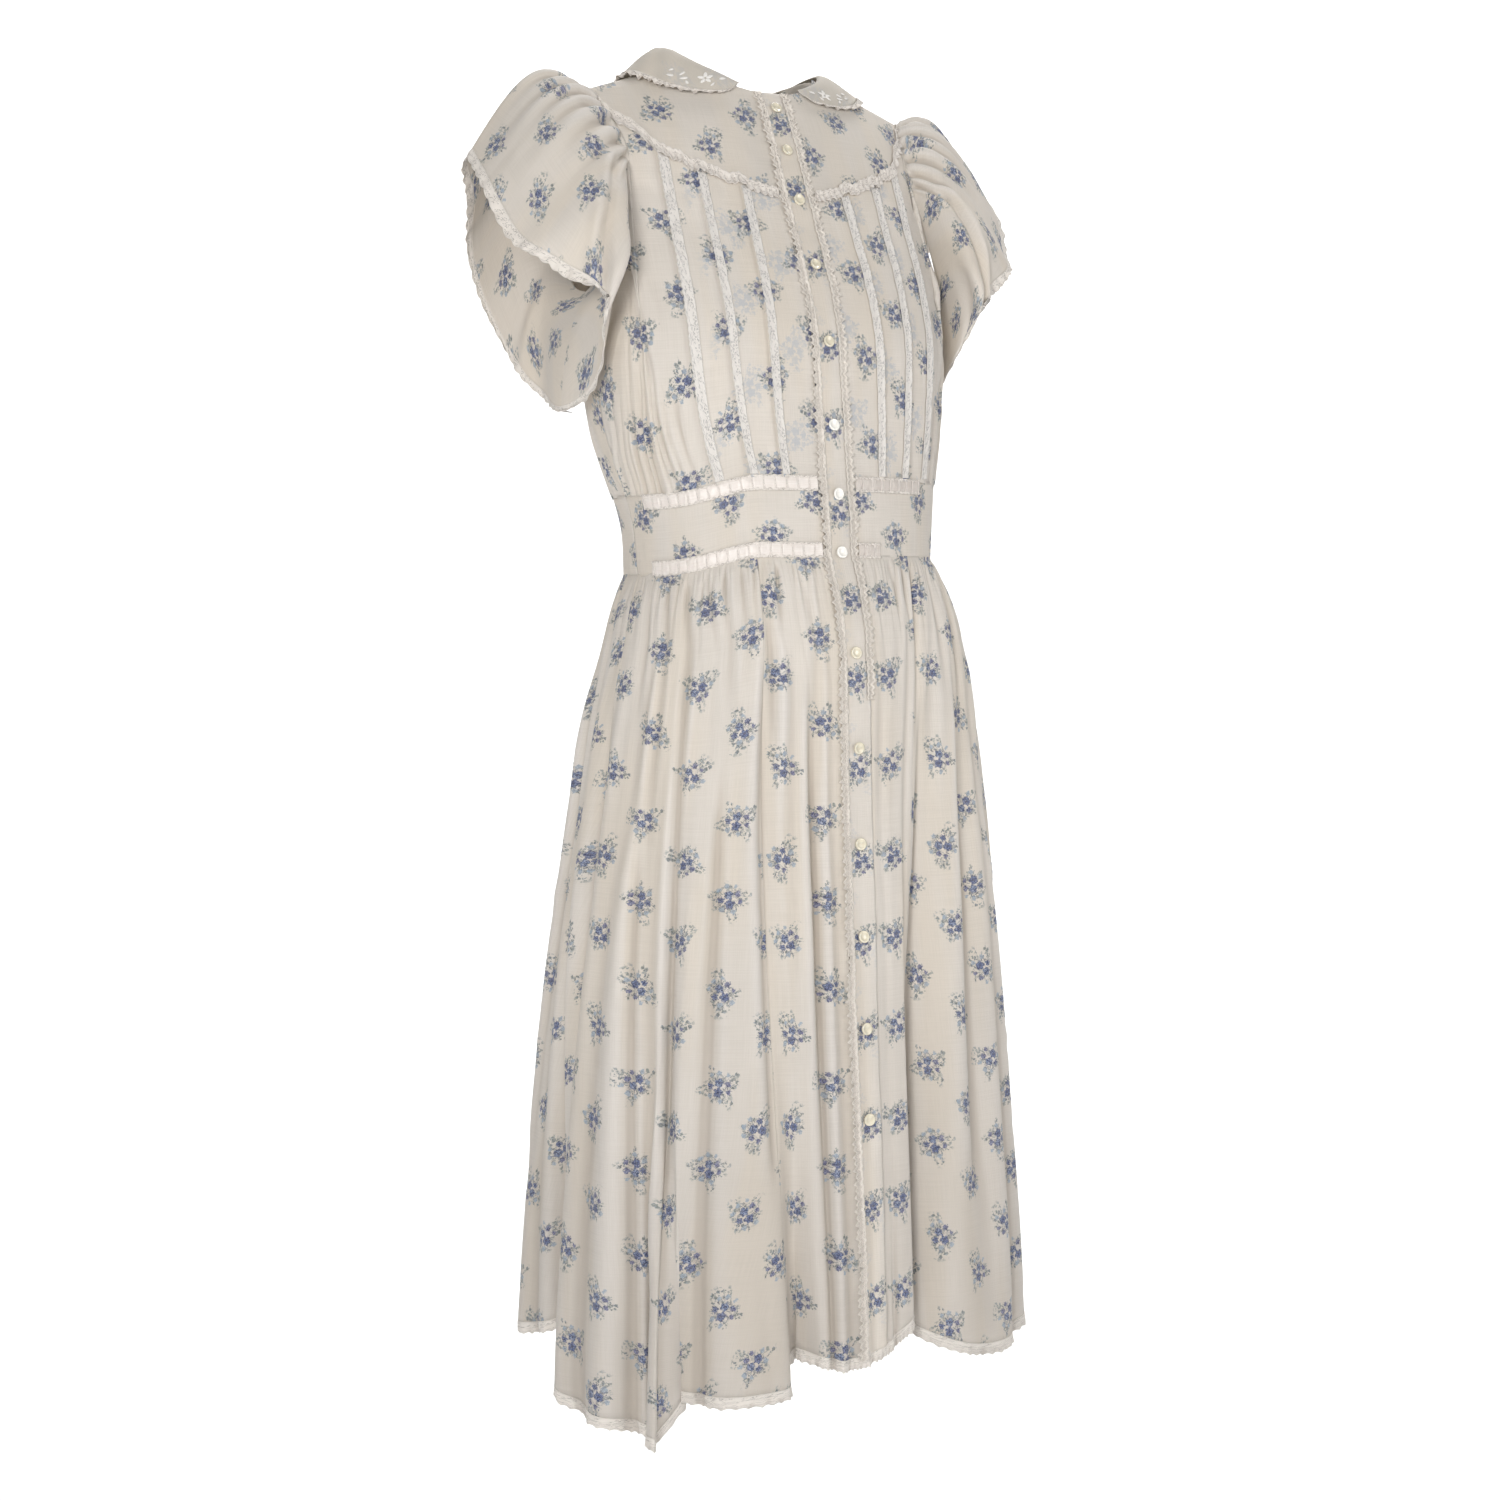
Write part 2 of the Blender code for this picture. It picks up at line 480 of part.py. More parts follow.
BAND_Z = (WAIST_TOP - SEAM, -0.3838, -0.4292, WAIST_LOW + SEAM)
BAND_U = [5.8, 7.3, 17.0, 28.0, 40.0, 46.0, 52.0, 58.5, 65.0, 71.5, 78.0, 89.8]
BACK_U = [90.2] + [180 - float(lines(BACK, s, "waist")) for s in half[-2:0:-1]]
BACK_U += [180.0] + [360 - u for u in BACK_U[::-1]]
wall("waistband_front_left", "voile", band, BAND_U, BAND_Z, ref="axis")
wall("waistband_front_right", "voile", band, [-u for u in BAND_U], BAND_Z, ref="axis")
wall("waistband_back", "voile", band, BACK_U, BAND_Z, ref="axis")
for name, sign, last, rows in (("ribbon_upper_right", -1, 78.0, BAND_Z[:2]), ("ribbon_lower_right", -1, 78.0, BAND_Z[2:]),
                               ("ribbon_upper_left", 1, 40.0, BAND_Z[:2]), ("ribbon_lower_left", 1, 17.0, BAND_Z[2:])):
    wall(name, "ribbon", band, [sign * u for u in BAND_U if 7.0 < u <= last], rows, ref="axis", lift=LIFT, thick=LACE)

SIDE_U = [32.5, 34.8, 37.0, 39.5, 43.0, 49.0, 55.0, 60.0, 66.0, 71.0, 75.5, 80.0, 85.0, 89.9]
SIDE_RIGHT_U = [32.5, 36.0, 40.0, 44.0, 47.5, 50.0, 53.0, 56.0, 59.0, 62.5, 67.0, 72.0, 77.0, 82.0, 86.0, 89.9]
FRONT_U = [5.8, 7.2, 12.0, 17.0, 22.0, 27.5, 32.3]
FRONT_RIGHT_U = [5.8, 7.2, 12.0, 17.0, 21.0, 24.5, 27.0, 29.5, 32.3]
BACK_SKIRT_U = list(np.linspace(90.1, 269.9, 28))
wall("skirt_front_left", "voile", skirt_panel, FRONT_U, SKIRT_T, ref="axis")
wall("skirt_front_right", "voile", skirt_panel, [-u for u in FRONT_RIGHT_U], SKIRT_T, ref="axis")
wall("skirt_side_left", "voile", skirt_panel, SIDE_U, SKIRT_T, ref="axis")
wall("skirt_side_right", "voile", skirt_panel, [-u for u in SIDE_RIGHT_U], SKIRT_T, ref="axis")
wall("skirt_back", "voile", skirt_panel, [u if u <= 180 else u - 360 for u in BACK_SKIRT_U], SKIRT_T, ref="axis")
ring = sorted([-u for u in FRONT_RIGHT_U + SIDE_RIGHT_U[:-1]] + [0.0] + FRONT_U[:-1] + SIDE_U[:-1]
              + [u if u <= 180 else u - 360 for u in BACK_SKIRT_U])
wall("hem_lace", "lace", lambda u, t: skirt(u, hem_z(u) + HEM_LACE * (1 - t) - SEAM * t), ring, (0.05, 1.0), ref="axis",
     closed=True)

# The placket and the lace on its edges run in one length from neck to hem, on the same levels as the panels.
levels = [-0.0262 + (-0.1235 + 0.0262) * t for t in YOKE_C]
levels += [-0.1235 + (WAIST_TOP + SEAM + 0.1235) * t for t in BODY_T[1:]]
levels += [-0.3838, -0.405, -0.4292, -0.4406]
hem0 = float(hem_z(0.0)) + HEM_LACE
levels += [SKIRT_TOP + (hem0 - SKIRT_TOP) * t for t in SKIRT_T[1:]]
wall("placket", "voile", centre, (-PLACKET, -TRIM_IN, TRIM_IN, PLACKET), levels, ref="axis")
wall("placket_lace_right", "lace", centre, (-TRIM_OUT, -0.0140, -TRIM_IN), levels, ref="axis", lift=LIFT, thick=LACE)
upper = [z for z in levels if z > -0.56]
wall("placket_lace_left", "lace", centre, (TRIM_IN, 0.0140, TRIM_OUT), upper, ref="axis", lift=LIFT, thick=LACE)


def on_placket(z):
    """A point on the placket's flat stretches, and the way they face."""
    hi = max(l for l in levels if l <= z)
    lo = min(l for l in levels if l > z)
    a, b = centre(0.0, hi), centre(0.0, lo)
    k = (z - hi) / (lo - hi)
    d = (b - a) / np.linalg.norm(b - a)
    n = np.array([0.0, -d[2], d[1]])
    return a + (b - a) * k, (n if n[1] < 0 else -n)


for k, z in enumerate(BUTTON_Z):
    p, n = on_placket(z)
    bm = bmesh.new()
    bmesh.ops.create_cone(bm, cap_ends=True, cap_tris=False, segments=10, radius1=BUTTON_R, radius2=BUTTON_R * 0.86,
                          depth=BUTTON_T)
    me = bpy.data.meshes.new("button_%02d" % (k + 1))
    bmesh.ops.triangulate(bm, faces=bm.faces[:])
    bm.to_mesh(me)
    bm.free()
    me.shade_smooth()
    me.set_sharp_from_angle(angle=math.radians(40))
    ob = bpy.data.objects.new("button_%02d" % (k + 1), me)
    ob.data.materials.append(material(ob.name, "pearl"))
    ob.location = Vector(p + n * (LIFT + 0.0005 + BUTTON_T / 2))
    ob.rotation_mode = "QUATERNION"
    ob.rotation_quaternion = Vector((0.0, 0.0, 1.0)).rotation_difference(Vector(n))
    bpy.context.scene.collection.objects.link(ob)
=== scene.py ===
"""Looks of the prairie dress: fine cloth shells, lace, ribbon, pearl buttons and their materials."""
import json
import math

import bmesh
import bpy
import numpy as np
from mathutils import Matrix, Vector

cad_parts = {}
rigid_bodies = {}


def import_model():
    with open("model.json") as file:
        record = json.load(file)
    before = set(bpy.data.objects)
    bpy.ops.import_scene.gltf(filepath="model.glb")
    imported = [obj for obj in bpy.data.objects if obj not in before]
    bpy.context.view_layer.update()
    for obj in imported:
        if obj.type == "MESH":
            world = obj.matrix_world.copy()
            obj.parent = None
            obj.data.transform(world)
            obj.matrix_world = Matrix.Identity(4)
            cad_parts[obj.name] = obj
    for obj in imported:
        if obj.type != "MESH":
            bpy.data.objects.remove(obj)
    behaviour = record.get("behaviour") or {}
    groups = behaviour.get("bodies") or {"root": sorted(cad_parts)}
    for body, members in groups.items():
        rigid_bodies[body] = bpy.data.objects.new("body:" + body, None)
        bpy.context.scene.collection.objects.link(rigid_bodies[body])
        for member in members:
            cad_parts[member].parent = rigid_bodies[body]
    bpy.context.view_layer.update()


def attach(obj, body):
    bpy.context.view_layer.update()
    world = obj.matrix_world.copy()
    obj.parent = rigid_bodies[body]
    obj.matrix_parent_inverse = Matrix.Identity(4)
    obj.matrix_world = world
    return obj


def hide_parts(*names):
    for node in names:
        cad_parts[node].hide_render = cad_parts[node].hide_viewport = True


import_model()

# ---------------------------------------------------------------- sizes, metres
# Origin: midway between the two neck ends of the shoulder seams. +Z up, front faces -Y, wearer's left is +X.
CLOTH = 0.0012          # wall of every cloth piece
SEAM = 0.0004           # clearance between two sewn pieces
LIFT = 0.0004           # clearance under a trim that lies on a panel
LACE = 0.0010           # wall of the lace edgings
TIP_X, TIP_Z = 0.164, -0.030          # shoulder tip: end of the shoulder seam
HPS_X = 0.070           # neck end of the shoulder seam
RIDGE_SLOPE = 0.337     # fall of the shoulder seam for each metre outwards
ROUND = 0.075           # depth over which the cloth turns over the shoulder
ARM_YOKE = 0.09         # share of the front armhole that the yoke makes
WAIST_TOP, WAIST_LOW = -0.372, -0.441  # edges of the waistband
SIDE_DIP = 0.016        # how much lower the waistband lies at the wearer's right side
PLACKET = 0.0138        # half width of the button placket
TRIM_IN, TRIM_OUT = 0.0098, 0.0176    # the lace trim on each edge of the placket
FULL = 0.16             # how much flatter than an ellipse the front and back are

# Cross sections of the bodice and waistband. One row for each level.
BODY = dict(cols=("z", "half_width", "side_y", "front_y", "back_y"), rows=(
    (0.030, 0.160, 0.000, -0.040, 0.084),
    (-0.030, 0.166, 0.000, -0.053, 0.093),
    (-0.060, 0.168, -0.005, -0.066, 0.099),
    (-0.100, 0.170, -0.012, -0.084, 0.105),
    (-0.150, 0.172, -0.022, -0.106, 0.108),
    (-0.200, 0.174, -0.033, -0.129, 0.104),
    (-0.250, 0.173, -0.040, -0.145, 0.093),
    (-0.302, 0.167, -0.043, -0.151, 0.077),
    (-0.340, 0.159, -0.050, -0.155, 0.061),
    (-0.372, 0.150, -0.058, -0.159, 0.048),
    (-0.405, 0.1445, -0.0635, -0.163, 0.040),
    (-0.441, 0.1410, -0.063, -0.167, 0.044),
))
# Cross sections of the skirt's mean surface, from the waistband seam down.
SKIRT = dict(cols=("z", "half_width", "side_y", "front_y", "back_y"), rows=(
    (-0.4405, 0.1410, -0.063, -0.167, 0.044),
    (-0.470, 0.155, -0.070, -0.179, 0.050),
    (-0.504, 0.165, -0.075, -0.188, 0.056),
    (-0.560, 0.177, -0.073, -0.192, 0.060),
    (-0.640, 0.187, -0.071, -0.194, 0.064),
    (-0.740, 0.198, -0.067, -0.200, 0.074),
    (-0.830, 0.204, -0.062, -0.203, 0.084),
    (-0.960, 0.207, -0.056, -0.209, 0.096),
    (-1.065, 0.209, -0.056, -0.213, 0.101),
    (-1.170, 0.210, -0.056, -0.216, 0.104),
))
# Folds of the skirt. waist and hem: where the fold's crest is, in degrees round the body from the centre
# front, wearer's left positive; wide: half width in degrees; out: how far the crest stands out at the hem;
# bulge: how much wider the crest is than its foot; starts: height where it begins.
FOLDS = dict(cols=("waist", "hem", "wide", "out", "bulge", "starts"), rows=(
    (-171.0, -172.0, 10.0, 0.028, 0.8, -0.56),
    (-142.0, -142.0, 10.0, 0.032, 0.9, -0.60),
    (-113.0, -109.0, 9.0, 0.018, 0.9, -0.62),
    (-97.0, -91.0, 5.5, -0.024, 0.0, -0.70),
    (-77.0, -70.0, 10.5, 0.024, 1.3, -0.60),
    (-57.0, -52.5, 3.6, 0.030, 0.6, -0.84),
    (-50.5, -46.0, 3.4, -0.020, 0.0, -0.92),
    (-40.5, -34.0, 8.5, 0.022, 1.5, -0.62),
    (-27.0, -21.0, 4.2, -0.026, 0.0, -0.80),
    (-8.0, -7.5, 12.0, 0.010, 0.0, -0.70),
    (20.0, 9.5, 5.0, 0.008, 0.6, -0.62),
    (37.0, 14.8, 5.6, -0.040, 0.0, -0.47),
    (55.0, 38.0, 14.0, 0.018, 0.9, -0.54),
    (80.0, 68.0, 5.5, -0.020, 0.0, -0.66),
    (99.0, 92.0, 10.0, 0.022, 1.0, -0.60),
    (131.0, 127.0, 10.0, 0.032, 0.9, -0.62),
    (158.0, 158.0, 8.0, 0.024, 0.8, -0.56),
))
# Where lines of the cloth that hang straight down the skirt lie at the waist and at the hem, degrees.
GRAIN = dict(cols=("waist", "hem"), rows=(
    (-180.0, -180.0), (-142.0, -142.0), (-113.0, -109.0), (-77.0, -70.0), (-57.0, -52.5), (-32.4, -26.0),
    (-20.0, -14.0), (-6.0, -3.8), (0.0, 0.0), (6.0, 3.8), (20.0, 9.5), (32.4, 13.2), (37.0, 14.8), (42.0, 20.0),
    (55.0, 38.0), (99.0, 92.0), (131.0, 127.0), (180.0, 180.0),
))
# Height of the hem, which dips at the crests that hang forward and rises in the troughs.
HEM = dict(cols=("hem", "z"), rows=(
    (-180.0, -1.122), (-142.0, -1.128), (-109.0, -1.112), (-91.0, -1.096), (-80.0, -1.138), (-66.0, -1.156),
    (-52.5, -1.166), (-46.0, -1.136), (-34.0, -1.134), (-26.0, -1.132), (-20.0, -1.108), (-7.5, -1.116),
    (5.0, -1.108), (14.0, -1.084), (21.0, -1.106), (38.0, -1.127), (68.0, -1.108), (92.0, -1.122), (127.0, -1.128),
    (158.0, -1.120), (180.0, -1.122),
))
SKIRT_TOP = WAIST_LOW - SEAM
HEM_LACE = 0.010        # depth of the lace edging round the hem

# Lines of the cloth down each front, from the placket to the side seam: where each leaves the yoke seam or the
# armhole seam, and where it reaches the waistband, degrees from the centre front. Six rows lie on the yoke seam.
FRONT = dict(cols=("top_x", "top_z", "waist"), rows=(
    (0.0142, -0.1235, 5.45), (0.0176, -0.1232, 6.75), (0.0500, -0.1130, 18.5), (0.0880, -0.1010, 30.0),
    (0.1170, -0.0860, 42.5), (0.1540, -0.0430, 57.0), (0.1440, -0.0900, 67.0), (0.1490, -0.1200, 74.0),
    (0.1620, -0.1650, 82.0), (0.1742, -0.2150, 89.8),
))
# The same lines carried up across the yoke to the neck seam and the shoulder seam.
YOKE = dict(cols=("top_x", "top_z"), rows=(
    (0.0142, -0.0260), (0.0176, -0.0255), (0.0480, -0.0160), (0.0700, 0.0000), (0.1120, -0.0142), (0.1640, -0.0317),
))
# Lines of the cloth down the back, from the centre to the side seam.
BACK = dict(cols=("top_x", "top_z", "waist"), rows=(
    (0.0000, -0.0180, 0.0), (0.0360, -0.0140, 14.0), (0.0580, -0.0070, 26.0), (0.0700, 0.0000, 36.0),
    (0.1150, -0.0152, 50.0), (0.1640, -0.0317, 62.0), (0.1590, -0.0700, 69.0), (0.1565, -0.1200, 76.0),
    (0.1610, -0.1700, 83.0), (0.1742, -0.2150, 89.8),
))
# Lace bands that edge the pin tucks, as steps along the rows of FRONT.
TUCKS = dict(cols=("line", "wide"), rows=((2.0, 0.22), (3.0, 0.22), (4.0, 0.24)))
LEFT_SLEEVE = 0.82      # the wearer's left sleeve has slid up: it reaches this share of the right one's fall
LEFT_COLLAR = 0.35      # and the left half of the collar lies flatter: this share of the right one's roll
# The open end of each sleeve, by degrees round the armhole from the shoulder tip towards the front, and how far
# the cloth puffs out halfway along.
SLEEVE = dict(cols=("round", "x", "y", "z", "puff_x", "puff_y", "puff_z"), rows=(
    (0.0, 0.272, -0.004, -0.100, 0.000, 0.000, 0.038),
    (30.0, 0.274, -0.044, -0.135, -0.002, -0.012, 0.030),
    (60.0, 0.262, -0.080, -0.182, -0.004, -0.024, 0.016),
    (90.0, 0.234, -0.104, -0.202, -0.004, -0.032, 0.004),
    (115.0, 0.202, -0.112, -0.222, 0.002, -0.034, 0.000),
    (140.0, 0.187, -0.088, -0.262, 0.004, -0.024, 0.000),
    (165.0, 0.184, -0.046, -0.298, 0.006, -0.006, 0.000),
    (180.0, 0.185, -0.016, -0.304, 0.007, 0.000, 0.000),
    (210.0, 0.188, 0.028, -0.290, 0.006, 0.010, 0.000),
    (240.0, 0.203, 0.062, -0.258, 0.000, 0.016, 0.000),
    (270.0, 0.226, 0.072, -0.210, -0.002, 0.016, 0.006),
    (300.0, 0.246, 0.058, -0.160, 0.000, 0.010, 0.018),
    (330.0, 0.262, 0.030, -0.118, 0.000, 0.004, 0.030),
    (360.0, 0.272, -0.004, -0.100, 0.000, 0.000, 0.038),
))
# The collar: degrees round the neck from the centre front, the neck seam and the outer edge.
COLLAR = dict(cols=("round", "neck_x", "neck_z", "edge_x", "edge_z", "stand", "flare"), rows=(
    (25.0, 0.0290, -0.0225, 0.0330, -0.0262, 0.002, 0.000), (31.0, 0.0350, -0.0205, 0.0480, -0.0335, 0.005, 0.001),
    (42.0, 0.0460, -0.0160, 0.0700, -0.0350, 0.008, 0.001), (56.0, 0.0580, -0.0098, 0.0920, -0.0325, 0.011, 0.002),
    (72.0, 0.0665, -0.0030, 0.1090, -0.0245, 0.015, 0.002), (90.0, 0.0700, 0.0000, 0.1200, -0.0168, 0.018, 0.002),
    (110.0, 0.0650, -0.0040, 0.1190, -0.0290, 0.019, 0.000), (135.0, 0.0500, -0.0100, 0.0960, -0.0600, 0.019, 0.001),
    (160.0, 0.0240, -0.0160, 0.0450, -0.0760, 0.018, 0.001), (179.7, 0.0004, -0.0180, 0.0006, -0.0790, 0.018, 0.001),
))
BUTTON_Z = (-0.042, -0.082, -0.1285, -0.188, -0.256, -0.328, -0.387, -0.437, -0.522, -0.602, -0.6825, -0.760,
            -0.8365, -0.9115)
BUTTON_R, BUTTON_T = 0.0053, 0.0024


def column(table, name):
    k = table["cols"].index(name)
    return np.array([row[k] for row in table["rows"]], float)


def smooth(xs, ys, x):
    """A smooth curve through the rows that never overshoots them."""
    if xs[0] > xs[-1]:
        xs, ys = xs[::-1], ys[::-1]
    x = np.clip(np.asarray(x, float), xs[0], xs[-1])
    h = np.diff(xs)
    d = np.diff(ys) / h
    m = np.zeros(len(xs))
    for i in range(1, len(xs) - 1):
        if d[i - 1] * d[i] > 0:
            w1, w2 = 2 * h[i] + h[i - 1], h[i] + 2 * h[i - 1]
            m[i] = (w1 + w2) / (w1 / d[i - 1] + w2 / d[i])
    m[0], m[-1] = d[0], d[-1]
    i = np.clip(np.searchsorted(xs, x, side="right") - 1, 0, len(xs) - 2)
    t = (x - xs[i]) / h[i]
    return ((2 * t ** 3 - 3 * t ** 2 + 1) * ys[i] + (t ** 3 - 2 * t ** 2 + t) * h[i] * m[i]
            + (3 * t ** 2 - 2 * t ** 3) * ys[i + 1] + (t ** 3 - t ** 2) * h[i] * m[i + 1])


def read(table, key, name, x):
    return smooth(column(table, key), column(table, name), x)


def ridge(x):
    """Height of the shoulder line at a distance from the middle."""
    return -RIDGE_SLOPE * (np.abs(x) - HPS_X)


def section(table, th, z):
    """A point on the cross section at height z. th: radians round the body from the centre front."""
    a = read(table, "z", "half_width", z)
    ys = read(table, "z", "side_y", z)
    yf = read(table, "z", "front_y", z)
    yb = read(table, "z", "back_y", z)
    s, c = np.sin(th), np.cos(th)
    full = np.abs(c) * (1 + FULL * s * s)
    return a * s, ys + np.where(c >= 0, (yf - ys) * full, (yb - ys) * full)


def torso(th, z):
    """The bodice and waistband: the sections, turned in over the shoulders to the shoulder seam."""
    th, z = np.broadcast_arrays(np.asarray(th, float), np.asarray(z, float))
    x, y = section(BODY, th, z)
    w = np.clip((ridge(x) - z) / ROUND, 0.0, 1.0)
    y = y * np.sqrt(1 - (1 - w) ** 2) + np.where(np.cos(th) >= 0, -SEAM, SEAM) * (1 - w)
    return np.stack([x, y, z + 0 * x], -1)


def spin(u, z):
    """Where the cloth line that leaves the waist at u degrees lies at height z, in radians."""
    u = np.asarray(u, float)
    a = read(SKIRT, "z", "half_width", z)
    a0 = read(SKIRT, "z", "half_width", -0.4405)
    a1 = read(SKIRT, "z", "half_width", -1.170)
    k = (1 / a - 1 / a0) / (1 / a1 - 1 / a0)
    return u + (read(GRAIN, "waist", "hem", u) - u) * k


def hem_z(u):
    return read(HEM, "hem", "z", read(GRAIN, "waist", "hem", u))


def skirt(u, z, scale=1.0):
    """The skirt, u in degrees at the waist: the sections, pushed out and in by the folds."""
    u, z = np.broadcast_arrays(np.asarray(u, float), np.asarray(z, float))
    th = spin(u, z)
    out = np.zeros_like(th)
    turn = np.zeros_like(th)
    for at, hem, wide, high, bulge, starts in FOLDS["rows"]:
        for wrap in (-360.0, 0.0, 360.0):
            c = at + wrap
            q = (u - c) / (wide * (1.25 if high > 0 else 1.2))
            g = np.exp(-q * q)
            t = np.clip((starts - z) / (starts + 1.15), 0.0, 1.15)
            grow = t * t * (3 - 2 * np.minimum(t, 1.0))
            out = out + high * scale * g * grow
            turn = turn + bulge * wide * q * g * grow * 0.9
    th = np.radians(th + turn)
    x, y = section(SKIRT, th, z)
    e = 1e-3
    x2, y2 = section(SKIRT, th + e, z)
    x1, y1 = section(SKIRT, th - e, z)
    tx, ty = x2 - x1, y2 - y1
    n = np.sqrt(tx * tx + ty * ty)
    return np.stack([x + ty / n * out, y - tx / n * out, z + 0 * x], -1)


def lines(table, s, name):
    """A column of a table of cloth lines, s counting its rows from 0."""
    rows = column(table, name)
    return smooth(np.arange(len(rows), dtype=float), rows, s)


def around(x, z, back):
    """Radians round the body of the point at half width x and height z."""
    a = read(BODY, "z", "half_width", z)
    th = np.arcsin(np.clip(x / a, -0.999996, 0.999996))
    return np.where(back, np.pi - th, th)


def front(s, t):
    """Wearer's left front below the yoke: s counts the rows of FRONT, t runs from the yoke to the waistband."""
    x0, z0 = lines(FRONT, s, "top_x"), lines(FRONT, s, "top_z")
    th0 = around(x0, z0, False)
    th1 = np.radians(lines(FRONT, s, "waist"))
    z1 = WAIST_TOP + SEAM
    return torso(th0 + (th1 - th0) * t, z0 + (z1 - z0) * t)


def yoke(s, t):
    """Wearer's left yoke: t runs from the neck or shoulder seam to the yoke seam."""
    x0, z0 = lines(YOKE, s, "top_x"), lines(YOKE, s, "top_z")
    z0 = np.where(s >= 3.0, ridge(x0), z0)
    x1, z1 = lines(FRONT, s, "top_x"), lines(FRONT, s, "top_z") + SEAM
    th0, th1 = around(x0, z0, False), around(x1, z1, False)
    return torso(th0 + (th1 - th0) * t, z0 + (z1 - z0) * t)


def back(s, t):
    """The back, s from 0 at its centre to 9 at the wearer's left side seam, negative on the other side."""
    a = np.abs(s)
    x0, z0 = lines(BACK, a, "top_x"), lines(BACK, a, "top_z")
    z0 = np.where((a >= 3.0) & (a <= 5.0), ridge(x0), z0)
    th0 = around(x0, z0, True)
    th1 = np.pi - np.radians(lines(BACK, a, "waist"))
    p = torso(th0 + (th1 - th0) * t, z0 + (WAIST_TOP + SEAM - z0) * t)
    return p * np.stack([np.where(s < 0, -1.0, 1.0) + 0 * t, 1 + 0 * (s + t), 1 + 0 * (s + t)], -1)


def armhole(round_deg):
    """The armhole seam of the wearer's left side."""
    r = np.mod(np.asarray(round_deg, float), 360.0)
    fore = r <= 180.0
    k = np.where(fore, r, 360.0 - r) / 180.0     # 0 at the shoulder tip, 1 at the underarm
    top = yoke(5.0 + 0 * k, np.clip(k / ARM_YOKE, 0, 1))
    low = front(5.0 + 4.0 * np.clip((k - ARM_YOKE) / (1 - ARM_YOKE), 0, 1), 0 * k)
    rear = back(5.0 + 4.0 * k, 0 * k)
    return np.where(fore[..., None], np.where((k < ARM_YOKE)[..., None], top, low), rear)


def sleeve(r, t, reach=1.0):
    """Wearer's left sleeve: r degrees round the armhole, t from the armhole seam to the lace."""
    r, t = np.broadcast_arrays(np.asarray(r, float), np.asarray(t, float))
    a = armhole(r) + np.array([SEAM + 0.0022, 0.0, 0.0])
    m = np.mod(r, 360.0)
    hem = np.stack([read(SLEEVE, "round", n, m) for n in ("x", "y", "z")], -1)
    puff = np.stack([read(SLEEVE, "round", n, m) for n in ("puff_x", "puff_y", "puff_z")], -1)
    t = t[..., None]
    return a + (hem - a) * t * reach + puff * reach * np.sin(np.pi * np.clip(t, 0, 1) ** 0.85)


def neck(r):
    x, z = read(COLLAR, "round", "neck_x", r), read(COLLAR, "round", "neck_z", r)
    return torso(around(x, z, r > 90.0), z)


def collar(r, v, roll=1.0):
    """Wearer's left half of the collar: r degrees round the neck, v from the neck seam to the edge."""
    r, v = np.broadcast_arrays(np.asarray(r, float), np.asarray(v, float))
    x0, z0 = read(COLLAR, "round", "neck_x", r), read(COLLAR, "round", "neck_z", r)
    x1, z1 = read(COLLAR, "round", "edge_x", r), read(COLLAR, "round", "edge_z", r)
    x, z = x0 + (x1 - x0) * v, z0 + (z1 - z0) * v
    z = np.minimum(z, ridge(x))
    p = torso(around(x, z, r > 90.0), z)
    out = p - np.array([0.0, 0.02, -0.16])         # away from a point low inside the chest
    out = out / np.linalg.norm(out, axis=-1, keepdims=True)
    stand, flare = read(COLLAR, "round", "stand", r), read(COLLAR, "round", "flare", r)
    roll = roll + (1 - roll) * np.clip((r - 110) / 60, 0, 1)      # both halves meet at the centre back
    rise = 0.0032 + roll * (stand * np.sin(np.pi * np.clip(v, 0, 1) ** 0.55) * (1 - 0.55 * v) + flare * np.clip(v, 0, 1.1))
    return p + out * rise[..., None]


def band(u, z):
    """The waistband."""
    return torso(np.radians(u), z)


def skirt_panel(u, t):
    """The skirt, t from the waistband to the lace; past 1 lies the lace."""
    low = hem_z(u) + HEM_LACE
    return skirt(u, SKIRT_TOP + (low - SKIRT_TOP) * t)


def centre(x, z):
    """The front's middle at x metres from the centre line, neck to hem."""
    x, z = np.broadcast_arrays(np.asarray(x, float), np.asarray(z, float))
    th = around(x, z, False)
    u = np.degrees(np.arcsin(x / 0.141))
    zs = SKIRT_TOP + (z - SKIRT_TOP) * (hem_z(u) + HEM_LACE - SKIRT_TOP) / (hem_z(0.0) + HEM_LACE - SKIRT_TOP)
    low = skirt(u, np.minimum(zs, -0.4405))
    return np.where((z > -0.4407)[..., None], torso(th, z), low)


def settle(p):
    """The waist sits a little lower on the wearer's right side than in front and on the left."""
    x, z = p[..., 0], p[..., 2]
    side = np.clip((-0.070 - x) / 0.072, 0, 1)
    high = np.clip((z + 0.22) / (-0.372 + 0.22), 0, 1)
    low = np.clip((z + 0.80) / (-0.441 + 0.80), 0, 1)
    k = side * side * (3 - 2 * side) * high * high * (3 - 2 * high) * low * low * (3 - 2 * low)
    return p - np.stack([0 * x, 0 * x, SIDE_DIP * k], -1)


# ---------------------------------------------------------------- fine cloth
THIN = 0.0005            # thickness of the cloth that shows
LACE_THIN = 0.0006
SHEETS = []
RNG = np.random.default_rng(7)


def waves(x, seed, n=5, low=0.35, high=1.6):
    """A smooth, uneven line with about one swing in each unit of x, from -1 to 1."""
    g = np.random.default_rng(seed)
    out = 0 * np.asarray(x, float)
    for _ in range(n):
        out = out + np.sin(2 * np.pi * x * g.uniform(low, high) + g.uniform(0, 7)) * g.uniform(0.5, 1.0)
    return out / (n * 0.55)


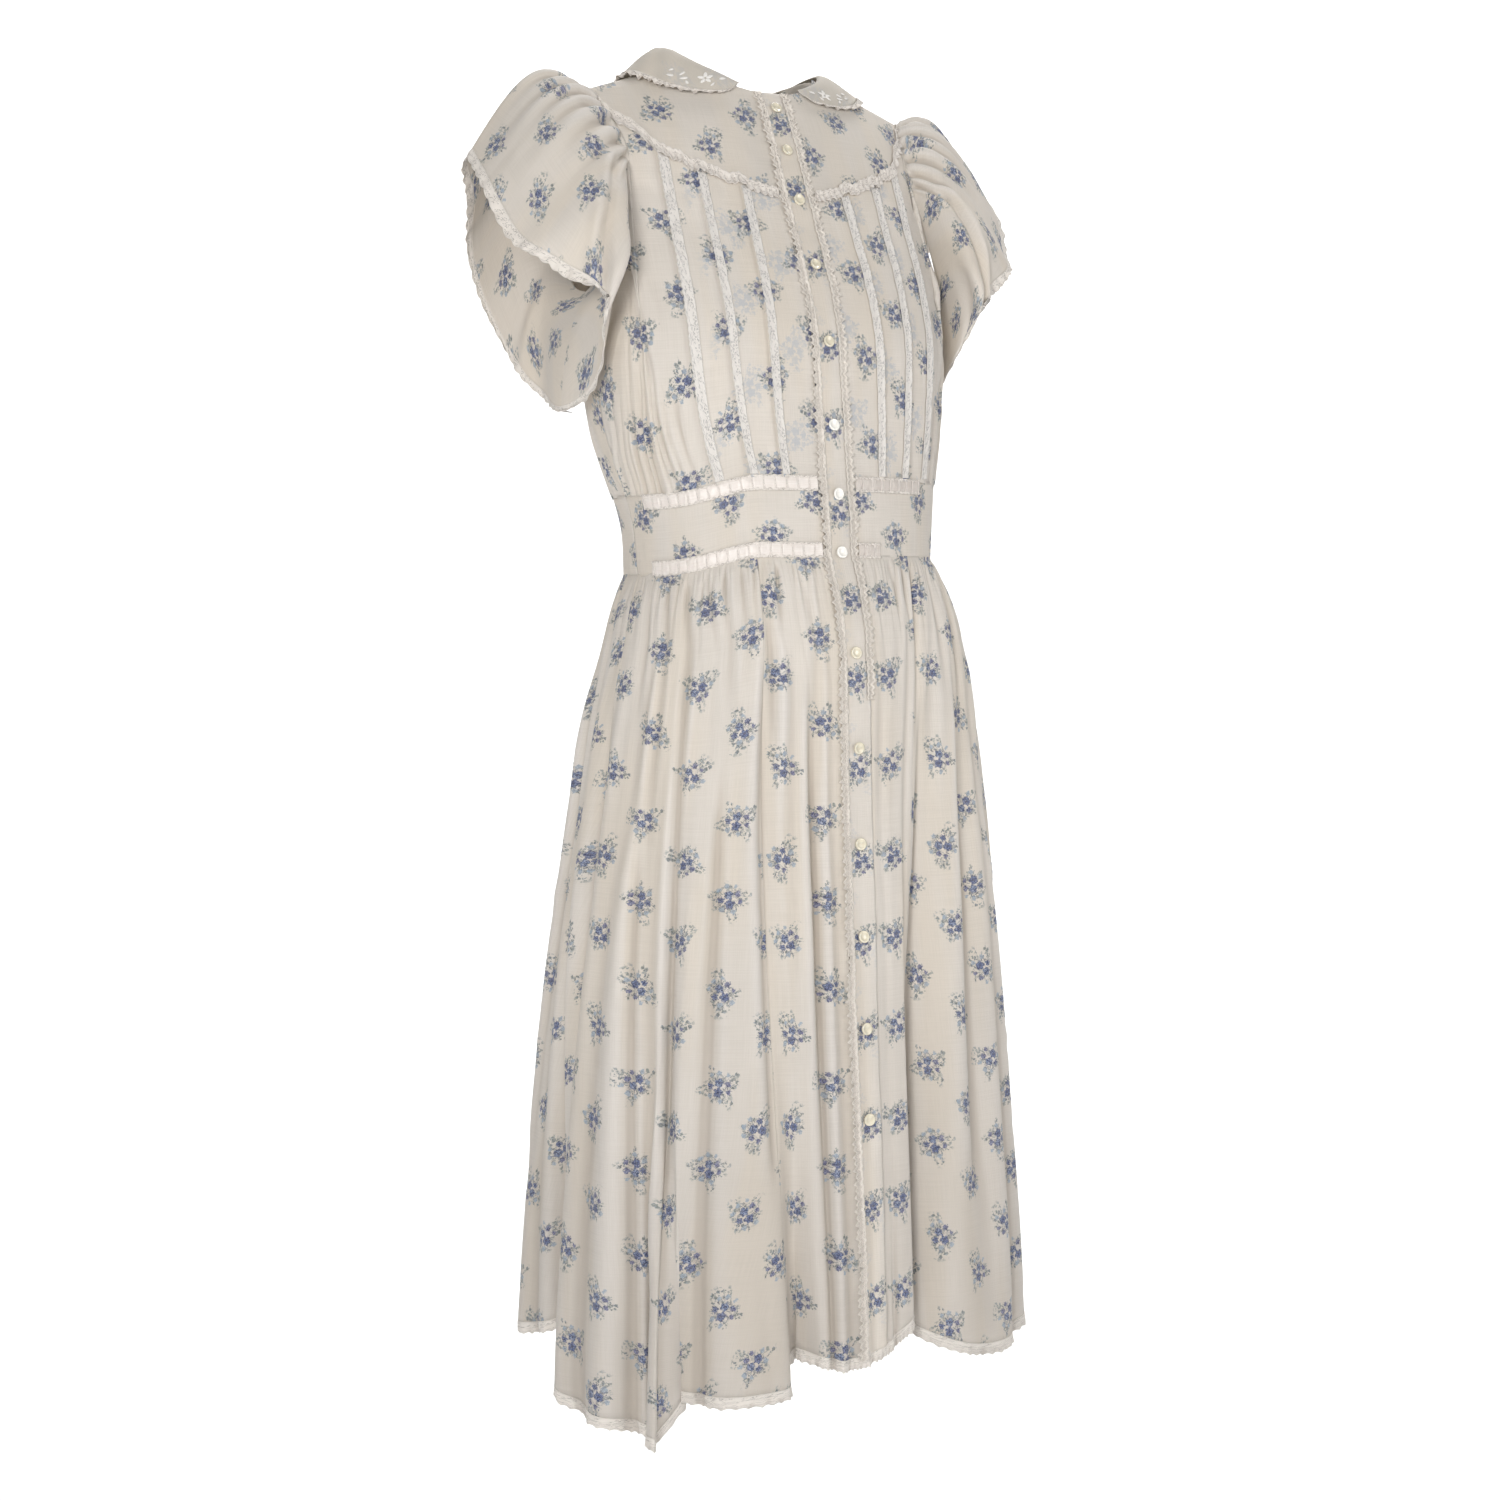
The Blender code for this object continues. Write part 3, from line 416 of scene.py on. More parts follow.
def ridges(x, seed, sharp=0.62, uneven=0.30):
    """Rounded ridges with narrow valleys, about one in each unit of x, of uneven width and height."""
    w = x + uneven * waves(x * 0.55, seed)
    h = 0.62 + 0.38 * waves(x * 0.5, seed + 1)
    return (np.abs(np.sin(np.pi * w)) ** sharp - 0.62) * h


def step(a, b, x):
    t = np.clip((x - a) / (b - a), 0, 1)
    return t * t * (3 - 2 * t)


def bump(x, at, wide):
    return np.exp(-((x - at) / wide) ** 2)


# Creases, listed one by one. along: place round the body at the waist in degrees, or the line of the front; drift: how
# far it wanders by its end; from_t, to_t: where it starts and ends; wide: in the same unit as along; deep: metres.
SKIRT_CREASES = dict(cols=("along", "drift", "from_z", "to_z", "wide", "deep"), rows=(
    (-52.0, 6.0, -0.445, -0.530, 1.3, -0.0034), (-45.0, 3.0, -0.450, -0.570, 1.6, -0.0040),
    (-38.5, 1.0, -0.450, -0.560, 1.2, -0.0026), (-31.0, 1.5, -0.470, -0.640, 1.4, -0.0028),
    (-25.5, -1.5, -0.448, -0.520, 1.1, -0.0026), (-17.5, 1.0, -0.446, -0.515, 1.2, -0.0024),
    (-60.0, 4.0, -0.450, -0.600, 1.8, -0.0042), (-69.0, 2.0, -0.450, -0.560, 1.6, -0.0036),
    (-78.0, 1.0, -0.455, -0.640, 1.8, -0.0040), (22.0, 3.0, -0.448, -0.510, 1.2, -0.0030),
    (28.0, 4.0, -0.446, -0.540, 1.3, -0.0036), (33.0, 2.5, -0.446, -0.600, 1.2, -0.0044),
    (45.0, 2.0, -0.450, -0.560, 1.6, -0.0036), (55.0, 3.0, -0.450, -0.620, 1.8, -0.0038),
    (66.0, 1.0, -0.450, -0.540, 1.6, -0.0034), (82.0, -2.0, -0.450, -0.600, 1.8, -0.0036),
    (104.0, 2.0, -0.450, -0.620, 2.0, -0.0040), (118.0, -2.0, -0.450, -0.560, 1.8, -0.0036),
    (139.0, 1.0, -0.450, -0.640, 2.0, -0.0042), (163.0, 1.0, -0.450, -0.570, 1.8, -0.0036),
    (-104.0, 2.0, -0.450, -0.620, 2.0, -0.0040), (-122.0, -2.0, -0.450, -0.560, 1.8, -0.0036),
    (-148.0, 1.0, -0.450, -0.640, 2.0, -0.0042), (-166.0, 1.0, -0.450, -0.570, 1.8, -0.0036),
))


# The long folds that can be followed down the skirt: a rounded rise with a narrow trough beside it.
SKIRT_FOLDS = dict(cols=("along", "drift", "from_z", "to_z", "wide", "deep"), rows=(
    (-19.0, 2.5, -0.520, -1.150, 2.2, 0.0052), (-33.0, -2.0, -0.480, -0.980, 2.4, 0.0040),
    (-45.0, -1.5, -0.560, -1.150, 3.0, 0.0056), (-58.0, 2.0, -0.500, -1.060, 3.0, 0.0048),
    (-72.0, 1.0, -0.620, -1.150, 3.4, 0.0056),
    (37.0, 2.5, -0.540, -1.150, 2.6, 0.0052), (50.0, 1.0, -0.480, -1.000, 2.8, 0.0046),
    (64.0, 3.0, -0.560, -1.150, 3.2, 0.0054), (84.0, 1.0, -0.500, -1.150, 3.2, 0.0050),
    (110.0, 2.0, -0.520, -1.150, 3.4, 0.0054), (131.0, -2.0, -0.480, -1.000, 3.0, 0.0048),
    (152.0, 2.0, -0.560, -1.150, 3.4, 0.0054), (174.0, 1.0, -0.500, -1.150, 3.2, 0.0050),
    (-92.0, 2.0, -0.520, -1.150, 3.4, 0.0054), (-112.0, -2.0, -0.480, -1.000, 3.0, 0.0048),
    (-134.0, 2.0, -0.560, -1.150, 3.4, 0.0054), (-158.0, 1.0, -0.500, -1.150, 3.2, 0.0050),
))


def skirt_relief(u, z):
    """How far the skirt's cloth stands off its mean surface at u degrees and height z."""
    h = np.maximum(SKIRT_TOP - z, 0.0)
    drop = (SKIRT_TOP - z) / 0.67
    calm = (0.30 + 0.70 * step(5.5, 13.0, np.abs(u))) * (1 - 0.80 * bump(u, 21.0, 11.0) * step(0.03, 0.12, h)) * (1 - 0.5 * bump(u, -10.0, 5.0) * step(0.03, 0.12, h))
    seam = step(0.0, 0.004, h)
    out = 0.0024 * ridges(u / 2.15, 11) * np.exp(-h / 0.026) * seam
    out = out + 0.0038 * ridges(u / 4.9 + 0.25 * waves(h * 6, 5), 23, 0.8) * np.exp(-h / 0.060) * step(0.0, 0.012, h)
    out = out + 0.0046 * waves(u / 8.5 + 0.25 * waves(z * 2.2, 39), 37, 4, 0.5, 1.2) * step(0.03, 0.16, h) * np.exp(-h / 0.80)
    out = out + 0.0018 * waves(u / 4.6 + 0.3 * waves(z * 2.6, 38), 36, 4, 0.6, 1.3) * step(0.02, 0.10, h) * np.exp(-h / 0.16)
    out = out + (0.0016 + 0.0052 * np.clip(drop, 0, 1.1) ** 1.5) * waves(u / 11.0, 41, 5, 0.6, 1.6) * step(0.05, 0.3, h)
    out = out + 0.0012 * waves(u / 14.0 + 1.7 * waves(z * 3.1, 4), 43) * waves(z * 7.0, 8) * step(0.1, 0.3, h)
    for along, drift, z0, z1, wide, deep in SKIRT_FOLDS["rows"]:
        t = np.clip((z0 - z) / (z0 - z1), 0, 1)
        at = along + drift * t
        fade = step(0.0, 0.25, t) * step(1.0, 0.86, t) if z1 > -1.1 else step(0.0, 0.25, t)
        out = out + deep * (bump(u, at - 0.9 * wide, 1.3 * wide) - 1.1 * bump(u, at + 0.35 * wide, 0.55 * wide)) * fade
    for along, drift, z0, z1, wide, deep in SKIRT_CREASES["rows"]:
        t = np.clip((z0 - z) / (z0 - z1), 0, 1)
        out = out + deep * bump(u, along + drift * t, wide * (0.8 + 0.9 * t)) * np.sin(np.pi * t ** 0.55) * calm
    return out * calm


def tuck_relief(s):
    """The pin tucks: each rises slowly from the placket's side to its lace and drops at the lace's outer edge."""
    out = 0 * s
    for line, wide in TUCKS["rows"]:
        edge = line + wide / 2
        out = out + 0.0020 * np.clip((s - (edge - 0.62)) / 0.62, 0, 1) ** 1.3 * (s <= edge + 1e-6)
    return out


def front_relief(s, t, left):
    w = lines(FRONT, s, "waist")
    seed = 60 if left else 70
    side = step(4.2, 4.7, s)
    pull = step(0.50, 0.97, t) * side
    out = 0.0044 * ridges(w / 3.9 + 0.3 * waves(t * 3, seed), seed + 1, 0.75) * pull * step(1.02, 0.985, t)
    out = out + 0.0034 * ridges(w / 8.5, seed + 3, 1.1) * step(0.25, 0.85, t) * side
    # soft troughs that run from the underarm down towards the bust and the waist
    for a, b, deep in ((0.10, 0.52, -0.0030), (0.24, 0.78, -0.0034), (0.02, 0.20, -0.0022)):
        out = out + 0.75 * deep * bump(t, a + (b - a) * (8.6 - s) / 4.0, 0.06) * side * step(9.0, 8.2, s)
    out = out + 0.0010 * waves(s * 0.9 + 0.8 * waves(t * 2.2, seed + 5), seed + 6) * waves(t * 4.0, seed + 7)
    out = out * (0.35 + 0.65 * step(1.2, 2.0, s))
    return out + tuck_relief(s) * step(0.0, 0.05, t)


def yoke_relief(s, t):
    return 0.0010 * waves(s * 0.8 + waves(t * 1.5, 81), 82) * waves(t * 1.7, 83)


def back_relief(s, t):
    w = lines(BACK, np.abs(s), "waist") * np.where(s < 0, -1, 1)
    out = 0.0040 * ridges(w / 3.8, 91, 0.75) * step(0.72, 0.98, t) * step(1.02, 0.985, t)
    out = out + 0.0026 * ridges(w / 9.0, 93, 1.1) * step(0.45, 0.95, t)
    return out + 0.0014 * waves(s * 0.5 + 0.7 * waves(t * 1.6, 95), 96) * waves(t * 2.6, 97)


SLEEVE_CREASES = dict(cols=("round", "drift", "to_t", "wide", "deep"), rows=(
    (-52.0, -6.0, 0.60, 3.4, 0.0050), (-38.0, -6.0, 0.75, 3.2, 0.0060), (-26.0, -4.0, 0.80, 3.0, 0.0064),
    (-15.0, -3.0, 0.75, 2.7, 0.0074), (-5.0, -1.0, 0.95, 2.9, 0.0084), (4.0, 2.0, 0.72, 2.4, 0.0074),
    (12.0, 3.0, 0.90, 2.7, 0.0086), (21.0, 3.0, 0.70, 2.5, 0.0078), (30.0, 5.0, 0.92, 2.9, 0.0088),
    (40.0, 4.0, 0.66, 2.8, 0.0070), (51.0, 5.0, 0.70, 3.2, 0.0060), (64.0, 5.0, 0.50, 3.2, 0.0044),
))


def sleeve_relief(r, t, seed=101):
    m = (np.mod(np.asarray(r, float) + 180.0, 360.0)) - 180.0
    head = step(95.0, 55.0, np.abs(m))
    out = 0.0046 * ridges(m / 13.5 + 0.35 * waves(t * 1.4, seed), seed + 1, 0.8, 0.22) * head * np.exp(-t / 0.34) * step(0.0, 0.05, t)
    out = out + 0.0052 * ridges(m / 27.0, seed + 4, 1.2) * head * np.exp(-t / 0.75) * step(0.0, 0.2, t)
    sway = 3.0 if seed == 101 else 0.0
    for at, drift, t1, wide, deep in SLEEVE_CREASES["rows"]:
        fade = np.clip(1.0 - t / t1, 0, 1) ** 0.9 * step(-0.01, 0.02, t)
        out = out - deep * bump(m, at + sway + drift * t / t1, wide * (0.75 + 0.9 * t / t1)) * fade
        out = out + 0.45 * deep * bump(m, at + sway + drift * t / t1 + 5.0, wide * (0.9 + 1.4 * t / t1)) * fade
    # a long fold from the head down the front to the lace
    out = out + (0.0042 * bump(m, 38.0 + 74.0 * t, 6.0) - 0.0052 * bump(m, 49.0 + 74.0 * t, 5.5)) * step(0.1, 0.4, t)
    c = np.radians(m)
    flow = np.sin(3 * c + 0.6) + 0.8 * np.sin(5 * c + 2.1) + 0.6 * np.sin(8 * c + 4.0)
    out = out + 0.0030 * flow * np.clip(t, 0, 1.1) ** 1.6
    # the edge turns in under the front and the back of the arm
    for at, wide, deep in ((121.0, 6.0, 0.0040), (133.0, 7.0, -0.0045), (-118.0, 8.0, 0.0030), (-134.0, 8.0, -0.0035)):
        out = out + deep * bump(m, at, wide) * step(0.15, 0.6, t)
    return out


def collar_relief(r, v):
    return 0.0007 * waves(r / 26.0, 111) * waves(v * 1.2, 112)


def band_relief(u, z):
    k = (WAIST_TOP - z) / (WAIST_TOP - WAIST_LOW)
    out = 0.0007 * ridges(u / 5.2, 121, 1.0) * (1 - 0.6 * np.sin(np.pi * np.clip(k, 0, 1)))
    return (out + 0.0005 * waves(u / 13.0, 123) * waves(k * 1.2, 124)) * step(6.0, 12.0, np.abs(u) + 0 * k)


def placket_relief(x, z):
    return 0.0005 * waves(z / 0.045, 131) + 0.0004 * waves(z / 0.11 + x * 20, 132)


class Metric:
    """Metres of cloth round the bodice from its centre front, and down it from the waist, for the point at th, z."""

    def __init__(self):
        self.th = np.linspace(0.0, math.pi, 361)
        self.z = np.concatenate([np.linspace(0.004, -0.08, 60), np.linspace(-0.085, WAIST_TOP - 0.002, 60)])
        th, z = np.meshgrid(self.th, self.z, indexing="ij")
        x, y = section(BODY, th, z)
        w = np.clip((-RIDGE_SLOPE * (np.abs(x) - HPS_X) - z) / ROUND, 0.02, 1.0)
        p = np.stack([x, y * np.sqrt(1 - (1 - w) ** 2), z], -1)
        full = np.stack([x, y, z], -1)
        du = np.linalg.norm(np.diff(full, axis=0), axis=-1)
        self.u = np.concatenate([np.zeros((1, len(self.z))), np.cumsum(du, axis=0)])
        dv = np.linalg.norm(np.diff(p, axis=1), axis=-1)
        v = np.concatenate([np.zeros((len(self.th), 1)), np.cumsum(dv, axis=1)], axis=1)
        self.v = v - v[:, -1:]

    def at(self, grid, th, z):
        i = np.clip(np.interp(th, self.th, np.arange(len(self.th))), 0, len(self.th) - 1.001)
        j = np.clip(np.interp(-z, -self.z, np.arange(len(self.z))), 0, len(self.z) - 1.001)
        a, b = i.astype(int), j.astype(int)
        s, t = i - a, j - b
        return (grid[a, b] * (1 - s) * (1 - t) + grid[a + 1, b] * s * (1 - t) + grid[a, b + 1] * (1 - s) * t
                + grid[a + 1, b + 1] * s * t)


METRIC = Metric()


def front_metric(s, t):
    x0, z0 = lines(FRONT, s, "top_x"), lines(FRONT, s, "top_z")
    th0, th1 = around(x0, z0, False), np.radians(lines(FRONT, s, "waist"))
    th, z = th0 + (th1 - th0) * t, z0 + (WAIST_TOP + SEAM - z0) * t
    return METRIC.at(METRIC.u, th, z), METRIC.at(METRIC.v, th, z)


def yoke_metric(s, t):
    x0, z0 = lines(YOKE, s, "top_x"), lines(YOKE, s, "top_z")
    z0 = np.where(s >= 3.0, ridge(x0), z0)
    x1, z1 = lines(FRONT, s, "top_x"), lines(FRONT, s, "top_z") + SEAM
    th0, th1 = around(x0, z0, False), around(x1, z1, False)
    th, z = th0 + (th1 - th0) * t, z0 + (z1 - z0) * t
    return METRIC.at(METRIC.u, th, z), METRIC.at(METRIC.v, th, z)


def back_metric(s, t):
    a = np.abs(s)
    x0, z0 = lines(BACK, a, "top_x"), lines(BACK, a, "top_z")
    z0 = np.where((a >= 3.0) & (a <= 5.0), ridge(x0), z0)
    th0 = around(x0, z0, True)
    th1 = np.pi - np.radians(lines(BACK, a, "waist"))
    th, z = th0 + (th1 - th0) * t, z0 + (WAIST_TOP + SEAM - z0) * t
    u = METRIC.at(METRIC.u, np.full_like(th, math.pi), z) - METRIC.at(METRIC.u, th, z)
    return u * np.where(s < 0, -1.0, 1.0), METRIC.at(METRIC.v, th, z)


def cloth(name, f, relief, us, vs, ref, lift=-0.0003, thick=THIN, flip=False, closed=False,
          replaces=(), mat=None, still=None, metric_from=None, sheet=None, metric=None):
    """A thin shell on the surface f, moved out by the relief. Its UVs are metres of cloth."""
    u, v = np.meshgrid(np.asarray(us, float), np.asarray(vs, float), indexing="ij")
    base = f(u, v)
    e = 2e-4
    du, dv = f(u + e, v) - f(u - e, v), f(u, v + e) - f(u, v - e)
    n = np.cross(du, dv)
    n /= np.maximum(np.linalg.norm(n, axis=-1, keepdims=True), 1e-12)
    if ref == "rings":
        c = base.mean(axis=0, keepdims=True)
    elif ref == "axis":
        c = base * (0.0, 0.0, 1.0) + (0.0, -0.06, 0.0)
    else:
        c = np.array([0.0, -0.02, -0.25])
    if np.sum(n * (base - c)) < 0:
        n = -n
    d = relief(u, v) if relief is not None else 0 * u
    # how deep each point lies among its folds: under the cloth a few millimetres to either side of it. The materials
    # use it to paint shade into the valleys of the folds and painted light onto their ridges
    gap = float(np.mean(np.linalg.norm(np.diff(base, axis=0), axis=-1))) + 1e-6
    reach = max(3, min(40, int(0.014 / gap)))
    kern = np.exp(-np.linspace(-2.2, 2.2, 2 * reach + 1) ** 2)
    kern /= kern.sum()
    wide_d = np.concatenate([d[-reach:], d, d[:reach]]) if closed else np.pad(d, ((reach, reach), (0, 0)), mode="edge")
    mean_d = sum(k * wide_d[i:i + d.shape[0]] for i, k in enumerate(kern))
    fold_shade = np.clip((mean_d - d) / 0.0019, -1.0, 1.0)
    if not hasattr(lift, "shape"):
        lift = lift + 0 * u
    top = base + n * (d + lift)[..., None]
    # the inner face follows the folded surface's own slope
    ga = np.gradient(top, axis=0) if not closed else (np.roll(top, -1, 0) - np.roll(top, 1, 0)) / 2
    gb = np.gradient(top, axis=1)
    m = np.cross(ga, gb)
    m /= np.maximum(np.linalg.norm(m, axis=-1, keepdims=True), 1e-12)
    m = np.where(np.sum(m * n, -1, keepdims=True) < 0, -m, m)
    m = m + n * 0.6
    m /= np.linalg.norm(m, axis=-1, keepdims=True)
    low = top - m * thick
    soft = base                    # lengths are read from the surface without its small folds
    mirror = np.array([-1.0, 1.0, 1.0]) if flip else np.ones(3)
    top, low = settle(top * mirror), settle(low * mirror)
    nu, nv = u.shape
    k = nu * nv
    ring = nu if closed else nu - 1
    seg_u = np.linalg.norm(np.diff(np.concatenate([soft, soft[:1]]) if closed else soft, axis=0), axis=-1)
    arc_u = np.concatenate([np.zeros((1, nv)), np.cumsum(seg_u, axis=0)])
    zero = 0 if metric_from is None else int(np.argmin(np.abs(np.asarray(us, float) - metric_from)))
    arc_u = arc_u - arc_u[zero:zero + 1]
    seg_v = np.linalg.norm(np.diff(soft, axis=1), axis=-1)
    arc_v = np.concatenate([np.zeros((nu, 1)), np.cumsum(seg_v, axis=1)], axis=1)
    if closed:
        arc_v = np.concatenate([arc_v, arc_v[:1]])
    wide, long = float(arc_u.max() - arc_u.min()), float(arc_v.max())
    if metric is not None:
        arc_u, arc_v = metric(u, v)
        if sheet in ("back", "front"):       # the rows slide along each other, so the panel's own width is the cut's
            wide = float(arc_u.max() - arc_u.min())
    i, j = np.meshgrid(np.arange(ring), np.arange(nv - 1), indexing="ij")
    i, j = i.ravel(), j.ravel()
    i1 = (i + 1) % nu
    a, b, c2, d2 = i * nv + j, i1 * nv + j, i1 * nv + j + 1, i * nv + j + 1
    outer = np.stack([a, b, c2, d2], 1)
    inner = np.stack([a, d2, c2, b], 1) + k
    corner = [(i, j), (i + 1, j), (i + 1, j + 1), (i, j + 1)]
    uv_o = np.stack([np.stack([arc_u[p, q], arc_v[p, q]], -1) for p, q in corner], 1)
    uv_i = uv_o[:, [0, 3, 2, 1]]
    bake_o = np.stack([np.stack([0.01 + 0.48 * p / ring, 0.01 + 0.98 * q / (nv - 1)], -1) for p, q in corner], 1)
    bake_i = bake_o[:, [0, 3, 2, 1]] + (0.5, 0.0)
    faces, uvs, bakes = [outer, inner], [uv_o, uv_i], [bake_o, bake_i]

    def rim(p0, p1, q0, q1, turn):
        """Faces between the two layers along an edge from points 0 to points 1."""
        w0, w1 = p0 % nu * nv + q0, p1 % nu * nv + q1
        quad = np.stack([w0, w1, w1 + k, w0 + k], 1)
        uv = np.stack([np.stack([arc_u[x, y], arc_v[x, y]], -1) for x, y in ((p0, q0), (p1, q1), (p1, q1), (p0, q0))], 1)
        bk = np.stack([np.stack([0.01 + 0.48 * x / ring, 0.01 + 0.98 * y / (nv - 1)], -1)
                       for x, y in ((p0, q0), (p1, q1), (p1, q1), (p0, q0))], 1)
        if turn:
            quad, uv, bk = quad[:, ::-1], uv[:, ::-1], bk[:, ::-1]
        faces.append(quad), uvs.append(uv), bakes.append(bk)

    ii = np.arange(ring)
    rim(ii, ii + 1, 0 * ii, 0 * ii, True)
    rim(ii, ii + 1, 0 * ii + nv - 1, 0 * ii + nv - 1, False)
    if not closed:
        jj = np.arange(nv - 1)
        rim(0 * jj, 0 * jj, jj, jj + 1, False)
        rim(0 * jj + nu - 1, 0 * jj + nu - 1, jj, jj + 1, True)
    faces, uvs, bakes = np.concatenate(faces), np.concatenate(uvs), np.concatenate(bakes)
    verts = np.concatenate([top.reshape(-1, 3), low.reshape(-1, 3)])
    # faces point out: compare the first outer faces with the normals
    p = verts[outer]
    fn = np.cross(p[:, 1] - p[:, 0], p[:, 3] - p[:, 0])
    want = (n * mirror)[:-1 if not closed else None, :-1].reshape(-1, 3)
    if np.sum(fn * want) < 0:
        faces, uvs, bakes = faces[:, ::-1], uvs[:, ::-1], bakes[:, ::-1]
    me = bpy.data.meshes.new(name)
    me.vertices.add(len(verts))
    me.vertices.foreach_set("co", verts.astype(np.float32).ravel())
    me.loops.add(faces.size)
    me.loops.foreach_set("vertex_index", faces.astype(np.int32).ravel())
    me.polygons.add(len(faces))
    me.polygons.foreach_set("loop_start", np.arange(0, faces.size, 4, dtype=np.int32))
    me.polygons.foreach_set("loop_total", np.full(len(faces), 4, dtype=np.int32))
    for label, data in (("UVMap", uvs), ("OFBake", bakes)):
        layer = me.uv_layers.new(name=label)
        layer.data.foreach_set("uv", np.ascontiguousarray(data).astype(np.float32).ravel())
    me.uv_layers["UVMap"].active_render = True
    # kept for the painted shade in the fold valleys and the painted light on the fold ridges
    deep = me.attributes.new("fold_shade", "FLOAT", "POINT")
    deep.data.foreach_set("value", np.concatenate([fold_shade.ravel(), -fold_shade.ravel()]).astype(np.float32))
    me.update(calc_edges=True)
    me.shade_smooth()
    ob = bpy.data.objects.new(name, me)
    bpy.context.scene.collection.objects.link(ob)
    if mat is not None:
        me.materials.append(mat)
    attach(ob, "root")
    if replaces:
        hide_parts(*replaces)
    area = float(np.sum(np.linalg.norm(np.cross(p[:, 1] - p[:, 0], p[:, 2] - p[:, 0]), axis=-1)) / 2
                 + np.sum(np.linalg.norm(np.cross(p[:, 2] - p[:, 0], p[:, 3] - p[:, 0]), axis=-1)) / 2)
    SHEETS.append((ob, wide, long, area, sheet))
    return ob


# ---------------------------------------------------------------- materials
class Nodes:
    """Short names for building a node tree."""

    def __init__(self, tree):
        self.t = tree

    def node(self, kind, **props):
        n = self.t.nodes.new(kind)
        for k, v in props.items():
            setattr(n, k, v)
        return n

    def link(self, a, b):
        self.t.links.new(a, b)

    def put(self, value, socket):
        if hasattr(value, "is_output"):
            self.link(value, socket)
        else:
            socket.default_value = value

    def math(self, op, a, b=None, c=None, clamp=False):
        n = self.node("ShaderNodeMath", operation=op, use_clamp=clamp)
        for k, v in enumerate((a, b, c)):
            if v is not None:
                self.put(v, n.inputs[k])
        return n.outputs[0]

    def add(self, a, b): return self.math("ADD", a, b)
    def sub(self, a, b): return self.math("SUBTRACT", a, b)
    def mul(self, a, b): return self.math("MULTIPLY", a, b)

    def ramp(self, x, a, b, c=0.0, d=1.0):
        """x from a to b becomes c to d, smoothly, held beyond."""
        n = self.node("ShaderNodeMapRange", interpolation_type="SMOOTHSTEP")
        for k, v in enumerate((x, a, b, c, d)):
            self.put(v, n.inputs[k])
        return n.outputs[0]

    def mix(self, fac, a, b):
        n = self.node("ShaderNodeMix", data_type="RGBA")
        self.put(fac, n.inputs[0])
        for v, s in ((a, n.inputs[6]), (b, n.inputs[7])):
            self.put(v if hasattr(v, "is_output") else (*v, 1.0), s)
        return n.outputs[2]

    def xyz(self, x, y, z=0.0):
        n = self.node("ShaderNodeCombineXYZ")
        for k, v in enumerate((x, y, z)):
            self.put(v, n.inputs[k])
        return n.outputs[0]

    def parts(self, v):
        n = self.node("ShaderNodeSeparateXYZ")
        self.link(v, n.inputs[0])
        return n.outputs

    def noise(self, vec, scale, detail=1.0, dims="2D", rough=0.5):
        n = self.node("ShaderNodeTexNoise", noise_dimensions=dims)
        self.link(vec, n.inputs["Vector"])
        n.inputs["Scale"].default_value = scale
        n.inputs["Detail"].default_value = detail
        n.inputs["Roughness"].default_value = rough
        return n.outputs

    def cells(self, vec, scale, random=1.0, feature="F1"):
        n = self.node("ShaderNodeTexVoronoi", voronoi_dimensions="2D", feature=feature)
        self.link(vec, n.inputs["Vector"])
        n.inputs["Scale"].default_value = scale
        n.inputs["Randomness"].default_value = random
        return n.outputs


# The print's small repeat, listed mark by mark. Every mark is placed in millimetres from the posy's middle.
REPEAT_U, REPEAT_V = 0.0390, 0.0735        # metres between columns, and down a column; each column drops half
BLOOMS = dict(cols=("x", "y", "radius", "shade"), rows=(
    (-3.3, 2.6, 4.0, 0), (3.5, -1.0, 3.7, 1), (-2.6, -5.2, 2.7, 0), (6.4, 5.4, 2.5, 2), (-9.2, -1.6, 2.4, 3),
    (9.8, -5.2, 2.2, 3), (-7.9, 8.0, 2.0, 3), (1.4, 9.4, 2.0, 2), (4.6, -9.4, 1.9, 3), (12.0, 1.8, 1.7, 3),
))
PETALS = ((0.150, 0.200, 0.410), (0.225, 0.300, 0.510), (0.175, 0.180, 0.340), (0.300, 0.420, 0.550))
HEART = (0.020, 0.026, 0.080)
LEAF, STEM = (0.105, 0.140, 0.135), (0.250, 0.300, 0.270)


